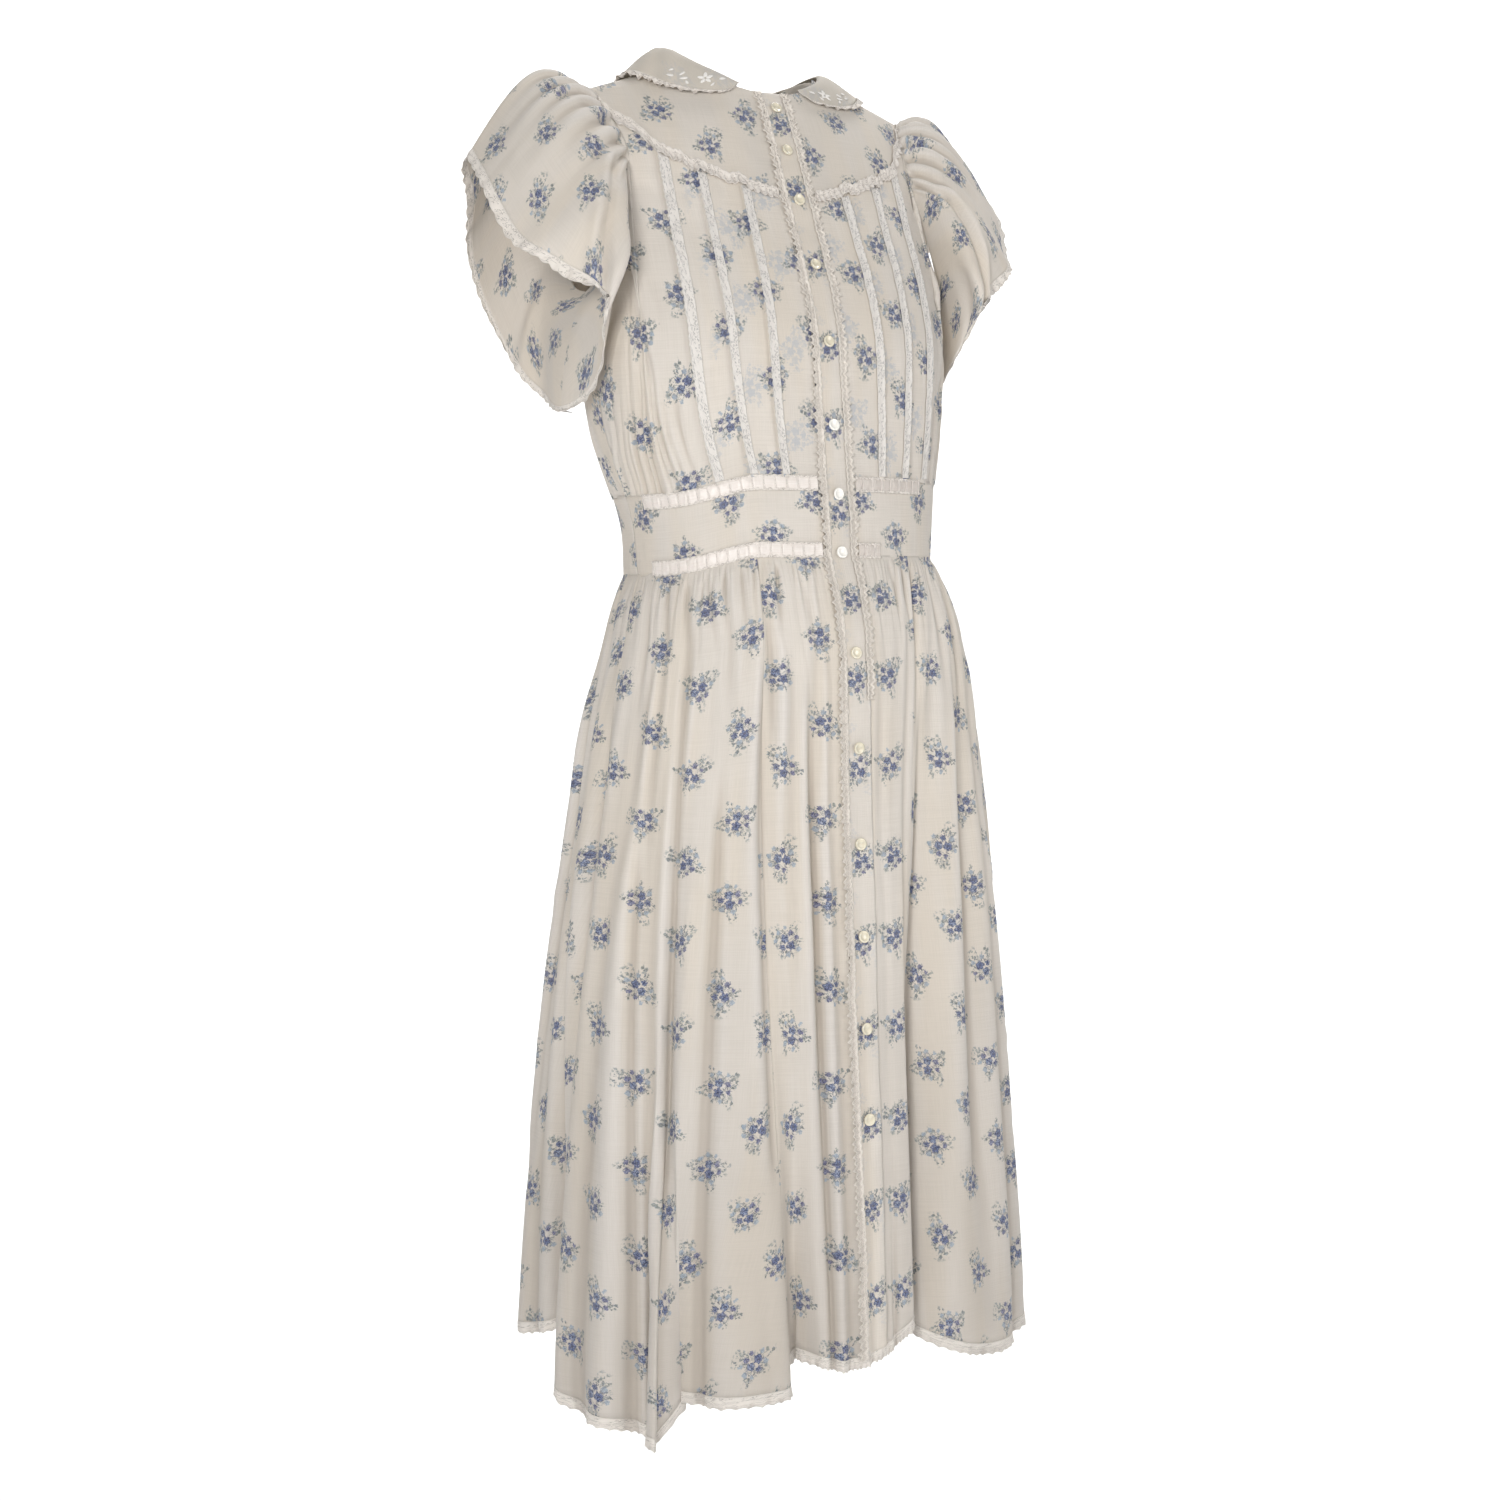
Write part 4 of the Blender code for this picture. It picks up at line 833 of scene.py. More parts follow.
def posies():
    """Group: cloth coordinates in metres in, the print's colour and cover out."""
    g = bpy.data.node_groups.new("posies", "ShaderNodeTree")
    g.interface.new_socket("Vector", in_out="INPUT", socket_type="NodeSocketVector")
    g.interface.new_socket("Color", in_out="OUTPUT", socket_type="NodeSocketColor")
    g.interface.new_socket("Cover", in_out="OUTPUT", socket_type="NodeSocketFloat")
    n = Nodes(g)
    src, dst = n.node("NodeGroupInput"), n.node("NodeGroupOutput")
    x, y, _ = n.parts(src.outputs[0])
    cu = n.math("DIVIDE", x, REPEAT_U)
    col = n.math("FLOOR", cu)
    odd = n.math("FLOORED_MODULO", col, 2.0)
    cv = n.add(n.math("DIVIDE", y, REPEAT_V), n.mul(odd, 0.5))
    row = n.math("FLOOR", cv)
    # four columns and three rows make the repeat; each posy in it is turned its own way
    seed = n.node("ShaderNodeTexWhiteNoise", noise_dimensions="2D")
    n.link(n.xyz(n.math("FLOORED_MODULO", col, 4.0), n.math("FLOORED_MODULO", row, 3.0)), seed.inputs["Vector"])
    ra, rb, rc = n.parts(seed.outputs["Color"])
    lx = n.mul(n.sub(n.sub(n.math("FRACT", cu), 0.5), n.mul(n.sub(ra, 0.5), 0.10)), REPEAT_U * 1000)
    ly = n.mul(n.sub(n.sub(n.math("FRACT", cv), 0.5), n.mul(n.sub(rb, 0.5), 0.14)), REPEAT_V * 1000)
    ang = n.mul(rc, 6.2832)
    ca, sa = n.math("COSINE", ang), n.math("SINE", ang)
    side = n.sub(n.mul(n.math("GREATER_THAN", ra, 0.5), 2.0), 1.0)
    px = n.mul(n.mul(n.add(n.mul(lx, ca), n.mul(ly, sa)), side), 0.97)
    py = n.mul(n.sub(n.mul(ly, ca), n.mul(lx, sa)), 0.97)
    q = n.xyz(px, py)
    # edges that wander as ink does in a loose weave
    w = n.noise(n.xyz(n.add(px, n.mul(ra, 90.0)), py), 0.50, 3.0, rough=0.62)
    wx, wy, _ = n.parts(w["Color"])
    px = n.add(px, n.mul(n.sub(wx, 0.5), 4.2))
    py = n.add(py, n.mul(n.sub(wy, 0.5), 4.2))
    q = n.xyz(px, py)
    r = n.math("SQRT", n.add(n.mul(px, px), n.mul(py, py)))
    turn = n.math("ARCTAN2", n.sub(py, 1.5), n.sub(px, 1.0))
    # sprays of small leaves that fan out from the middle, longer one way than another
    own = n.mul(rb, 60.0)
    reach = n.noise(n.xyz(n.add(n.mul(turn, 0.8), own), 3.0), 1.0, 1.0)["Fac"]
    rr = n.mul(r, n.ramp(reach, 0.34, 0.66, 1.42, 0.70))
    leaf, shade_of = None, None
    for around_, out_, size, off in ((4.0, 0.22, 0.37, 0.0), (6.6, 0.36, 0.35, 31.0)):
        cell = n.cells(n.xyz(n.add(n.mul(turn, around_), n.add(own, off)), n.mul(r, out_)), 1.0, 0.9)
        lr, lg, _ = n.parts(cell["Color"])
        one = n.mul(n.ramp(cell["Distance"], size, size * 0.62), n.math("GREATER_THAN", lr, 0.34))
        leaf = one if leaf is None else n.math("MAXIMUM", leaf, one)
        shade_of = lg if shade_of is None else shade_of
    leaf = n.mul(leaf, n.mul(n.ramp(rr, 3.0, 5.0), n.ramp(rr, 15.5, 12.5)))
    fan = n.noise(n.xyz(n.add(n.mul(turn, 5.2), own), n.mul(r, 0.16)), 1.0, 2.0)["Fac"]
    stroke = n.mul(n.ramp(fan, 0.56, 0.61), n.mul(n.ramp(rr, 4.0, 6.0), n.ramp(rr, 13.5, 10.5)))
    cover = n.mul(stroke, 0.62)
    colour = n.mix(n.mul(leaf, n.ramp(shade_of, 0.25, 0.75, 0.35, 1.0)), STEM, LEAF)
    cover = n.math("MAXIMUM", cover, n.mul(leaf, 0.86))
    heart = rim = None
    for bx, by, rad, shade in BLOOMS["rows"]:
        dx, dy = n.sub(px, bx), n.sub(py, by)
        d = n.math("SQRT", n.add(n.mul(dx, dx), n.mul(dy, dy)))
        if rad > 2.5:      # five petals
            d = n.mul(d, n.add(n.mul(n.math("SINE", n.mul(n.math("ARCTAN2", dy, dx), 5.0)), 0.15), 1.0))
        m = n.ramp(d, rad * 1.04, rad * 0.82)
        colour = n.mix(m, colour, PETALS[shade])
        cover = n.math("MAXIMUM", cover, n.mul(m, 0.74 if shade == 3 else 0.98))
        if rad > 2.5:
            h = n.ramp(d, rad * 0.34, rad * 0.16)
            heart = h if heart is None else n.math("MAXIMUM", heart, h)
            o = n.mul(n.ramp(d, rad * 0.62, rad * 0.86), m)
            rim = o if rim is None else n.math("MAXIMUM", n.mul(rim, n.sub(1.0, m)), o)
    # dark hearts, petal outlines, a broken inking, and paler touches on the petals
    ink = n.noise(n.xyz(n.mul(n.add(px, py), 0.50), n.mul(n.sub(px, py), 0.95)), 1.0, 2.0, rough=0.6)
    ia, ib, _ = n.parts(ink["Color"])
    colour = n.mix(n.mul(n.ramp(ib, 0.52, 0.62), 0.60), colour, (0.400, 0.490, 0.650))
    dark = n.math("MAXIMUM", n.mul(heart, 0.80), n.mul(n.ramp(ia, 0.495, 0.545), 0.88))
    dark = n.math("MAXIMUM", dark, n.mul(rim, 0.60))
    colour = n.mix(n.mul(dark, n.ramp(r, 13.5, 7.5, 0.25, 1.0)), colour, HEART)
    cover = n.mul(cover, n.ramp(ia, 0.30, 0.44, 0.55, 1.0))
    n.link(colour, dst.inputs[0])
    n.link(cover, dst.inputs[1])
    return g


POSIES = posies()


def surface(n, colour, bump_height, strength, rough, through, glow=None, alpha=None, sheen=0.0, distance=0.0004):
    """Cloth: a diffuse side and a share of light that comes through it."""
    out = n.node("ShaderNodeOutputMaterial")
    b = n.node("ShaderNodeBsdfPrincipled")
    n.put(colour, b.inputs["Base Color"])
    b.inputs["Roughness"].default_value = rough
    b.inputs["Specular IOR Level"].default_value = 0.25
    b.inputs["Sheen Weight"].default_value = sheen
    b.inputs["Sheen Roughness"].default_value = 0.6
    bump_node = n.node("ShaderNodeBump")
    bump_node.inputs["Strength"].default_value = strength
    bump_node.inputs["Distance"].default_value = distance
    n.link(bump_height, bump_node.inputs["Height"])
    n.link(bump_node.outputs[0], b.inputs["Normal"])
    shader = b.outputs[0]
    if through:
        tr = n.node("ShaderNodeBsdfTranslucent")
        n.put(glow if glow is not None else colour, tr.inputs["Color"])
        n.link(bump_node.outputs[0], tr.inputs["Normal"])
        mx = n.node("ShaderNodeMixShader")
        mx.inputs[0].default_value = through
        n.link(shader, mx.inputs[1]), n.link(tr.outputs[0], mx.inputs[2])
        shader = mx.outputs[0]
    if alpha is not None:
        tp = n.node("ShaderNodeBsdfTransparent")
        mx = n.node("ShaderNodeMixShader")
        n.put(alpha, mx.inputs[0])
        n.link(tp.outputs[0], mx.inputs[1]), n.link(shader, mx.inputs[2])
        shader = mx.outputs[0]
    n.link(shader, out.inputs[0])


def tree(name):
    m = bpy.data.materials.new(name)
    m.use_nodes = True
    m.node_tree.nodes.clear()
    n = Nodes(m.node_tree)
    uv = n.node("ShaderNodeUVMap", uv_map="UVMap")
    return m, n, uv.outputs[0]


def threads(n, uv):
    """The weave: fine uneven threads both ways, and the thicker slubs of a loose voile."""
    x, y, _ = n.parts(uv)
    warp = n.noise(n.xyz(n.mul(x, 1500.0), n.mul(y, 28.0)), 1.0, 2.0)["Fac"]
    weft = n.noise(n.xyz(n.mul(x, 24.0), n.mul(y, 1300.0)), 1.0, 2.0)["Fac"]
    return n.math("ADD", warp, weft)


def voile(name, printed=True, offset=(0.0, 0.0), pale=0.0, tint=(0.812, 0.763, 0.704), through=0.22, fall=1.0):
    """Cream cotton voile. pale: strength of a second, softer layer of the print that shows from beneath."""
    m, n, uv = tree(name)
    x, y, _ = n.parts(uv)
    weave = threads(n, uv)
    deep = n.node("ShaderNodeAttribute", attribute_name="fold_shade").outputs["Fac"]
    cloud = n.noise(uv, 9.0, 3.0)["Fac"]
    lengthwise = n.noise(n.xyz(n.mul(x, 20.0), n.mul(y, 2.6)), 1.0, 2.0)["Fac"]
    base = n.mix(n.ramp(cloud, 0.35, 0.68), tuple(c * 0.965 for c in tint), tuple(min(1.0, c * 1.03) for c in tint))
    base = n.mix(n.ramp(lengthwise, 0.42, 0.64, 0.0, 0.75), base, (0.790, 0.722, 0.632))
    # painted shade: the cloth is darkened in the valleys of its folds, and painted light brightens the ridges
    base = n.mix(n.ramp(deep, 0.06, 0.95, 0.0, 0.60), base, (0.560, 0.495, 0.425))
    base = n.mix(n.ramp(deep, -0.05, -0.85, 0.0, 0.55), base, (0.870, 0.835, 0.800))
    base = n.mix(n.ramp(weave, 0.80, 1.22, 0.0, 0.16), base, (0.56, 0.52, 0.45))
    if fall < 1.0:         # painted shade: towards the hem only one thin layer hangs, in less light, and its colour is painted darker
        _, _, high = n.parts(n.node("ShaderNodeTexCoord").outputs["Object"])
        base = n.mix(n.ramp(high, -0.62, -1.15, 0.0, 1.0 - fall), base, (0.42, 0.38, 0.34))
    if printed == "under":      # only the print of the layer beneath, blurred by this one
        g = n.node("ShaderNodeGroup", node_tree=POSIES)
        n.link(n.xyz(n.add(x, offset[0]), n.add(y, offset[1])), g.inputs[0])
        base = n.mix(n.mul(g.outputs[1], 0.24), base, (0.42, 0.47, 0.55))
    elif printed:
        if pale:
            g2 = n.node("ShaderNodeGroup", node_tree=POSIES)
            n.link(n.xyz(n.add(x, offset[0] + 0.019), n.add(y, offset[1] + 0.027)), g2.inputs[0])
            near = n.ramp(x, 0.112, 0.100)
            base = n.mix(n.mul(n.mul(g2.outputs[1], near), pale), base, (0.44, 0.50, 0.58))
        g = n.node("ShaderNodeGroup", node_tree=POSIES)
        n.link(n.xyz(n.add(x, offset[0]), n.add(y, offset[1])), g.inputs[0])
        cover = n.mul(g.outputs[1], n.ramp(weave, 0.70, 1.30, 1.0, 0.86))
        base = n.mix(cover, base, g.outputs[0])
    surface(n, base, weave, 0.35, 0.82, through, sheen=0.15)
    return m


def lace(name, across, tint=(0.88, 0.84, 0.78), open_=0.45, through=0.2, cord=0.16, hole_shade=(0.50, 0.47, 0.45),
         shade=0.45):
    """Narrow lace: a net ground with worked sprigs between two cords. across: which way the strip's width runs."""
    m, n, uv = tree(name)
    x, y, _ = n.parts(uv)
    plan = n.node("ShaderNodeUVMap", uv_map="OFBake")
    bx, by, _ = n.parts(plan.outputs[0])
    if across == "x":
        w = n.mul(n.math("FLOORED_MODULO", bx, 0.5), 2.0)
        along, side = y, x
    else:
        w, along, side = by, x, y
    edge = n.math("ABSOLUTE", n.mul(n.sub(w, 0.5), 2.0))
    cords = n.ramp(edge, 1.0 - 2 * cord, 1.0 - cord)
    dash = n.noise(n.xyz(n.mul(along, 620.0), n.mul(side, 1100.0)), 1.0, 1.0)["Fac"]
    sprig = n.noise(n.xyz(n.mul(along, 130.0), n.mul(side, 260.0)), 1.0, 1.0)["Fac"]
    holes = n.mul(n.ramp(dash, 0.50, 0.60), n.ramp(sprig, 0.60, 0.46))
    holes = n.mul(holes, n.sub(1.0, cords))
    yarn = n.noise(uv, 1100.0, 2.0)["Fac"]
    twist = n.math("SINE", n.mul(n.add(along, n.mul(side, 0.8)), 2600.0))
    # painted shade seen through the net: the openings are coloured darker than the thread
    colour = n.mix(n.mul(holes, 0.55), tint, hole_shade)
    colour = n.mix(n.ramp(yarn, 0.38, 0.66, 0.0, 0.20), colour, tuple(c * 0.84 for c in tint))
    colour = n.mix(n.mul(n.ramp(twist, 0.2, 1.0), n.mul(cords, 0.22)), colour, tuple(c * 0.78 for c in tint))
    deep = n.node("ShaderNodeAttribute", attribute_name="fold_shade").outputs["Fac"]
    # painted shade in the fold valleys, as strong as shade asks, and painted light on the ridges
    colour = n.mix(n.ramp(deep, 0.05, 0.6, 0.0, shade), colour, (tint[0] * 0.50, tint[1] * 0.46, tint[2] * 0.43))
    colour = n.mix(n.ramp(deep, -0.10, -0.8, 0.0, 0.5), colour, tuple(min(0.95, c * 1.07) for c in tint))
    height = n.add(n.mul(holes, -1.0), n.add(n.mul(cords, 0.9), n.mul(n.mul(twist, cords), 0.25)))
    alpha = n.ramp(holes, 0.2, 0.9, 1.0, 1.0 - open_)
    surface(n, colour, height, 0.5, 0.78, through, alpha=alpha, sheen=0.2, distance=0.0005)
    return m


def satin(name, alpha=None):
    m, n, uv = tree(name)
    x, y, _ = n.parts(uv)
    grain = n.noise(n.xyz(n.mul(x, 60.0), n.mul(y, 2400.0)), 1.0, 2.0)["Fac"]
    deep = n.node("ShaderNodeAttribute", attribute_name="fold_shade").outputs["Fac"]
    colour = n.mix(n.ramp(grain, 0.3, 0.7), (0.83, 0.760, 0.705), (0.90, 0.845, 0.800))
    # painted shade in the valleys of the ribbon's puckers
    colour = n.mix(n.ramp(deep, 0.05, 0.5, 0.0, 0.55), colour, (0.62, 0.54, 0.48))
    surface(n, colour, grain, 0.25, 0.34, 0.12, sheen=0.3, alpha=alpha)
    m.node_tree.nodes["Principled BSDF"].inputs["Specular IOR Level"].default_value = 0.6
    m.node_tree.nodes["Principled BSDF"].inputs["Anisotropic"].default_value = 0.4
    return m


def pearl(name, tint):
    m = bpy.data.materials.new(name)
    m.use_nodes = True
    m.node_tree.nodes.clear()
    n = Nodes(m.node_tree)
    at = n.node("ShaderNodeTexCoord").outputs["Object"]
    swirl = n.noise(at, 320.0, 3.0, dims="3D")
    x, y, z = n.parts(swirl["Color"])
    colour = n.mix(n.ramp(x, 0.35, 0.65), tint, tuple(min(1.0, c * 1.18) for c in tint))
    colour = n.mix(n.ramp(y, 0.5, 0.7, 0.0, 0.25), colour, (0.70, 0.78, 0.78))
    surface(n, colour, swirl["Fac"], 0.12, 0.20, 0.0, sheen=0.0)
    b = m.node_tree.nodes["Principled BSDF"]
    b.inputs["Specular IOR Level"].default_value = 0.7
    b.inputs["Coat Weight"].default_value = 0.6
    b.inputs["Coat Roughness"].default_value = 0.12
    return m


# ---------------------------------------------------------------- the dress
for ob in list(bpy.data.objects):
    if ob.type in {"LIGHT", "CAMERA"}:
        bpy.data.objects.remove(ob, do_unlink=True)

# fall sets how much of the cloth's colour is left at the hem under the painted shade
VOILE = voile("voile_print", fall=0.66)
VOILE_BACK = voile("voile_print_back", offset=(0.013, 0.031), fall=0.66)
SHADED_UPPER = (0.765, 0.716, 0.656)      # painted shade: a darker copy of the cloth for the yoke and sleeves, one layer with nothing close beneath
VOILE_YOKE = {"left": voile("voile_yoke_left", offset=(0.033, 0.0105), tint=SHADED_UPPER),
              "right": voile("voile_yoke_right", offset=(0.026, 0.047), tint=SHADED_UPPER)}
VOILE_FRONT = {"left": voile("voile_front_left", offset=(0.0205, 0.0345), pale=0.5),
               "right": voile("voile_front_right", offset=(0.006, 0.012), pale=0.5)}
VOILE_SLEEVE = {"left": voile("voile_sleeve_left", offset=(0.011, 0.052), tint=SHADED_UPPER),
                "right": voile("voile_sleeve_right", offset=(0.031, 0.018), tint=SHADED_UPPER)}
VOILE_BAND = voile("voile_band", offset=(0.012, 0.018))
PLACKET_VOILE = voile("voile_placket", offset=(0.02, 0.004), pale=0.25)
# painted shade: the collar's tint is a darker copy of the cloth's, for the dimmer light high on the dress
COLLAR_VOILE = voile("voile_collar", printed="under", offset=(0.004, 0.030), tint=(0.680, 0.632, 0.560))
LACE_TUCK = lace("lace_tuck", "x", tint=(0.872, 0.840, 0.800), open_=0.30, cord=0.13, hole_shade=(0.58, 0.57, 0.58))
LACE_SIDE = lace("lace_side", "x", tint=(0.910, 0.855, 0.785), open_=0.35, cord=0.22, hole_shade=(0.36, 0.31, 0.27), shade=0.85)
LACE_EDGE = lace("lace_edge", "y", tint=(0.875, 0.825, 0.770), open_=0.30, cord=0.18, hole_shade=(0.58, 0.53, 0.48))
LACE_BAR = lace("lace_bar", "x", tint=(0.88, 0.82, 0.77), open_=0.0, cord=0.3)
LACE_HEM = lace("lace_hem", "y", tint=(0.865, 0.820, 0.765), open_=0.30, cord=0.14, hole_shade=(0.60, 0.56, 0.52))
SATIN = {-1: satin("satin"), 1: satin("satin_thin", 0.55)}      # the wearer's left ends are thinner and show the voile
FINE = 1.0


def dense(stops, count):
    """Points along the stops, shared out by their weights: stops = ((value, weight to the next), …)."""
    vals = [v for v, _ in stops]
    w = [abs(stops[i + 1][0] - stops[i][0]) * stops[i][1] for i in range(len(stops) - 1)]
    out = []
    for i in range(len(vals) - 1):
        k = max(2, int(round(count * FINE * w[i] / sum(w))))
        out += list(np.linspace(vals[i], vals[i + 1], k, endpoint=False))
    return out + [vals[-1]]


def split_edges(values, edges, gap):
    """Adds a pair of close columns at every tuck's edge, so that it drops sharply."""
    out = [v for v in values if all(abs(v - e) > gap * 2 for e in edges)]
    for e in edges:
        out += [e, e + gap]
    return sorted(out)


EDGES = [line + wide / 2 for line, wide in TUCKS["rows"]]
S_FRONT = split_edges(dense(((0.0, 1.0), (1.2, 1.6), (4.3, 1.7), (9.0, 1)), 150), EDGES, 0.012)
T_FRONT = dense(((0.0, 2.0), (0.06, 0.8), (0.5, 1.0), (1.008, 1)), 84)
T_TURN = dense(((0.0, 9.0), (0.03, 4.0), (0.12, 1.5), (0.3, 0.7), (1.006, 1)), 40)


for side, flip, reach, roll in (("left", False, LEFT_SLEEVE, LEFT_COLLAR), ("right", True, 1.0, 1.0)):
    left = side == "left"

    def fr(s, t, left=left):
        return front_relief(s, t, left)

    def hang(r, t, reach=reach):
        return sleeve(r, t, reach)

    def turned(r, v, roll=roll):
        return collar(r, v, roll)

    def puffed(r, t, seed=101 if left else 151):
        return sleeve_relief(r, t, seed)

    cloth("cloth_front_" + side, front, fr, S_FRONT, T_FRONT, "chest", flip=flip, replaces=("front_" + side,),
          mat=VOILE_FRONT[side], metric=front_metric, sheet="front")
    cloth("cloth_yoke_" + side, yoke, yoke_relief, dense(((0.0, 1), (5.0, 1)), 64), T_TURN, "chest", flip=flip,
          replaces=("yoke_" + side,), mat=VOILE_YOKE[side], metric=yoke_metric, sheet="yoke")
    rr = list(np.linspace(-180, 180, int(230 * FINE) + 1)[:-1])
    cloth("cloth_sleeve_" + side, hang, puffed, rr, dense(((-0.03, 1.6), (0.3, 1.0), (0.962, 1)), 58), "rings", flip=flip,
          closed=True, replaces=("sleeve_" + side,), mat=VOILE_SLEEVE[side], metric_from=0.0, sheet="sleeve")

    def scallop(r, v, f=hang, g=puffed):
        edge = 0.9575 + 0.062 * v * (0.80 + 0.20 * np.abs(np.sin(np.radians(r) * 26)))
        return f(r, edge)

    def scallop_relief(r, v, g=puffed):
        return g(r, 0.9575 + 0.062 * v) + 0.0006 * np.sin(np.pi * np.clip(v, 0, 1)) + 0.0008 * v * np.sin(np.radians(r) * 40)

    cloth("lace_sleeve_" + side, scallop, scallop_relief, list(np.linspace(-180, 180, int(520 * FINE) + 1)[:-1]),
          [0.0, 0.12, 0.35, 0.6, 0.82, 1.0], "rings", thick=LACE_THIN, flip=flip, closed=True,
          replaces=("sleeve_lace_" + side,), mat=LACE_HEM, sheet="lace")

    r_col = dense(((25.0, 1.2), (110.0, 0.8), (179.7, 1)), 96)
    cloth("cloth_collar_" + side, turned, collar_relief, r_col, dense(((0.0, 1), (0.885, 1)), 16), "chest", flip=flip,
          replaces=("collar_" + side,), mat=COLLAR_VOILE, sheet="collar")

    def ruffle(r, v, f=turned):
        wave = 0.012 * np.sin(r * 0.95) + 0.012 * np.sin(r * 0.41 + 1)
        return f(r, 0.885 + (0.125 + wave) * v * (0.85 + 0.15 * np.abs(np.sin(r * 0.55))))

    def ruffle_relief(r, v):
        return 0.0006 - 0.0022 * step(70.0, 95.0, r) * v + v * (0.0016 * np.sin(r * 0.95 + 0.6) + 0.0010 * np.sin(r * 1.7)) + 0.0006 * np.sin(v * 9.0)

    cloth("lace_collar_" + side, ruffle, ruffle_relief, dense(((25.0, 1.2), (179.7, 1)), 420),
          [0.0, 0.15, 0.4, 0.65, 0.85, 1.0], "chest", thick=LACE_THIN, flip=flip,
          replaces=("collar_lace_" + side,), mat=LACE_EDGE, sheet="lace")

    # lace on the yoke seam, a rippled edging between two cords
    def yoke_trim(s, v):
        wave = 0.0050 * np.sin(s * 8.3) + 0.0035 * np.sin(s * 13.7 + 1.0) + 0.0022 * np.sin(s * 41.0)
        return front(s, -0.012 + wave + (0.040 + 0.003 * np.sin(s * 37.0)) * v)

    def yoke_trim_relief(s, v):
        return (0.0011 + 0.0009 * np.sin(s * 41.0 + 0.8) * v + 0.0006 * np.cos(v * 2 * np.pi)
                + np.maximum(0, tuck_relief(s)) * v)

    cloth("lace_yoke_" + side, yoke_trim, yoke_trim_relief, dense(((1.10, 1), (5.0, 1)), 420),
          [0.0, 0.1, 0.2, 0.35, 0.5, 0.65, 0.8, 0.9, 1.0], "chest", lift=0.0002, thick=LACE_THIN, flip=flip,
          replaces=("yoke_lace_" + side,), mat=LACE_EDGE, sheet="lace")

    for k, (line, wide) in enumerate(TUCKS["rows"]):
        edge = line + wide / 2

        def band_of(v, t, line=line, wide=wide):
            s = line - wide / 2 + wide * v + 0.026 * v * (np.abs(np.sin(t * 150.0)) - 0.4) + 0.008 * waves(t * 9.0, 301)
            return front(s, t)

        def band_up(v, t, edge=edge, wide=wide, fr=fr):
            s = np.minimum(edge - wide * (1 - v), edge)
            return fr(s, t) + 0.0006 + 0.0005 * step(0.78, 0.9, v) + 0.0004 * (v < 0.12)

        cloth("lace_tuck_%s_%d" % (side, k + 1), band_of, band_up, [0.0, 0.1, 0.25, 0.5, 0.75, 0.85, 0.93, 1.0],
              list(np.linspace(0.030, 0.998, int(300 * FINE))), "chest", lift=0.0001, thick=LACE_THIN, flip=flip,
              replaces=("tuck_lace_%s_%d" % (side, k + 1),), mat=LACE_TUCK, sheet="lace")

cloth("cloth_back", back, back_relief, dense(((-9.0, 1), (9.0, 1)), 164),
      dense(((0.0, 8.0), (0.02, 4.0), (0.08, 1.6), (0.3, 0.8), (0.7, 1.1), (1.006, 1)), 72), "chest", replaces=("back",),
      mat=VOILE_BACK, metric=back_metric, sheet="back")

# waistband
Z_BAND = dense(((WAIST_TOP + 0.0002, 1), (WAIST_LOW - 0.0002, 1)), 16)
for side, sign in (("left", 1), ("right", -1)):
    cloth("cloth_waistband_front_" + side, band, band_relief, [sign * u for u in dense(((5.8, 1), (90.0, 1)), 90)], Z_BAND,
          "axis", replaces=("waistband_front_" + side,), mat=VOILE_BAND, metric_from=sign * 5.8, sheet="band")
cloth("cloth_waistband_back", band, band_relief, dense(((90.0, 1), (270.0, 1)), 130), Z_BAND, "axis",
      replaces=("waistband_back",), mat=VOILE_BAND, metric_from=180.0, sheet="band")

BAR = 4.15                   # degrees between the ladder's bars


def ribbon_relief(u, k):
    bar = np.exp(-(((u / BAR) % 1.0) - 0.5) ** 2 / 0.010)
    puff = np.sin(np.pi * np.clip(k, 0, 1)) ** 0.6
    pull = 0.6 + 0.4 * waves(u / 7.0, 143)
    return (0.0006 + 0.0015 * puff * (1 - bar) * pull + 0.0002 * bar
            + 0.0004 * waves(u / 2.6, 141) * np.sin(k * 5.0 + u))


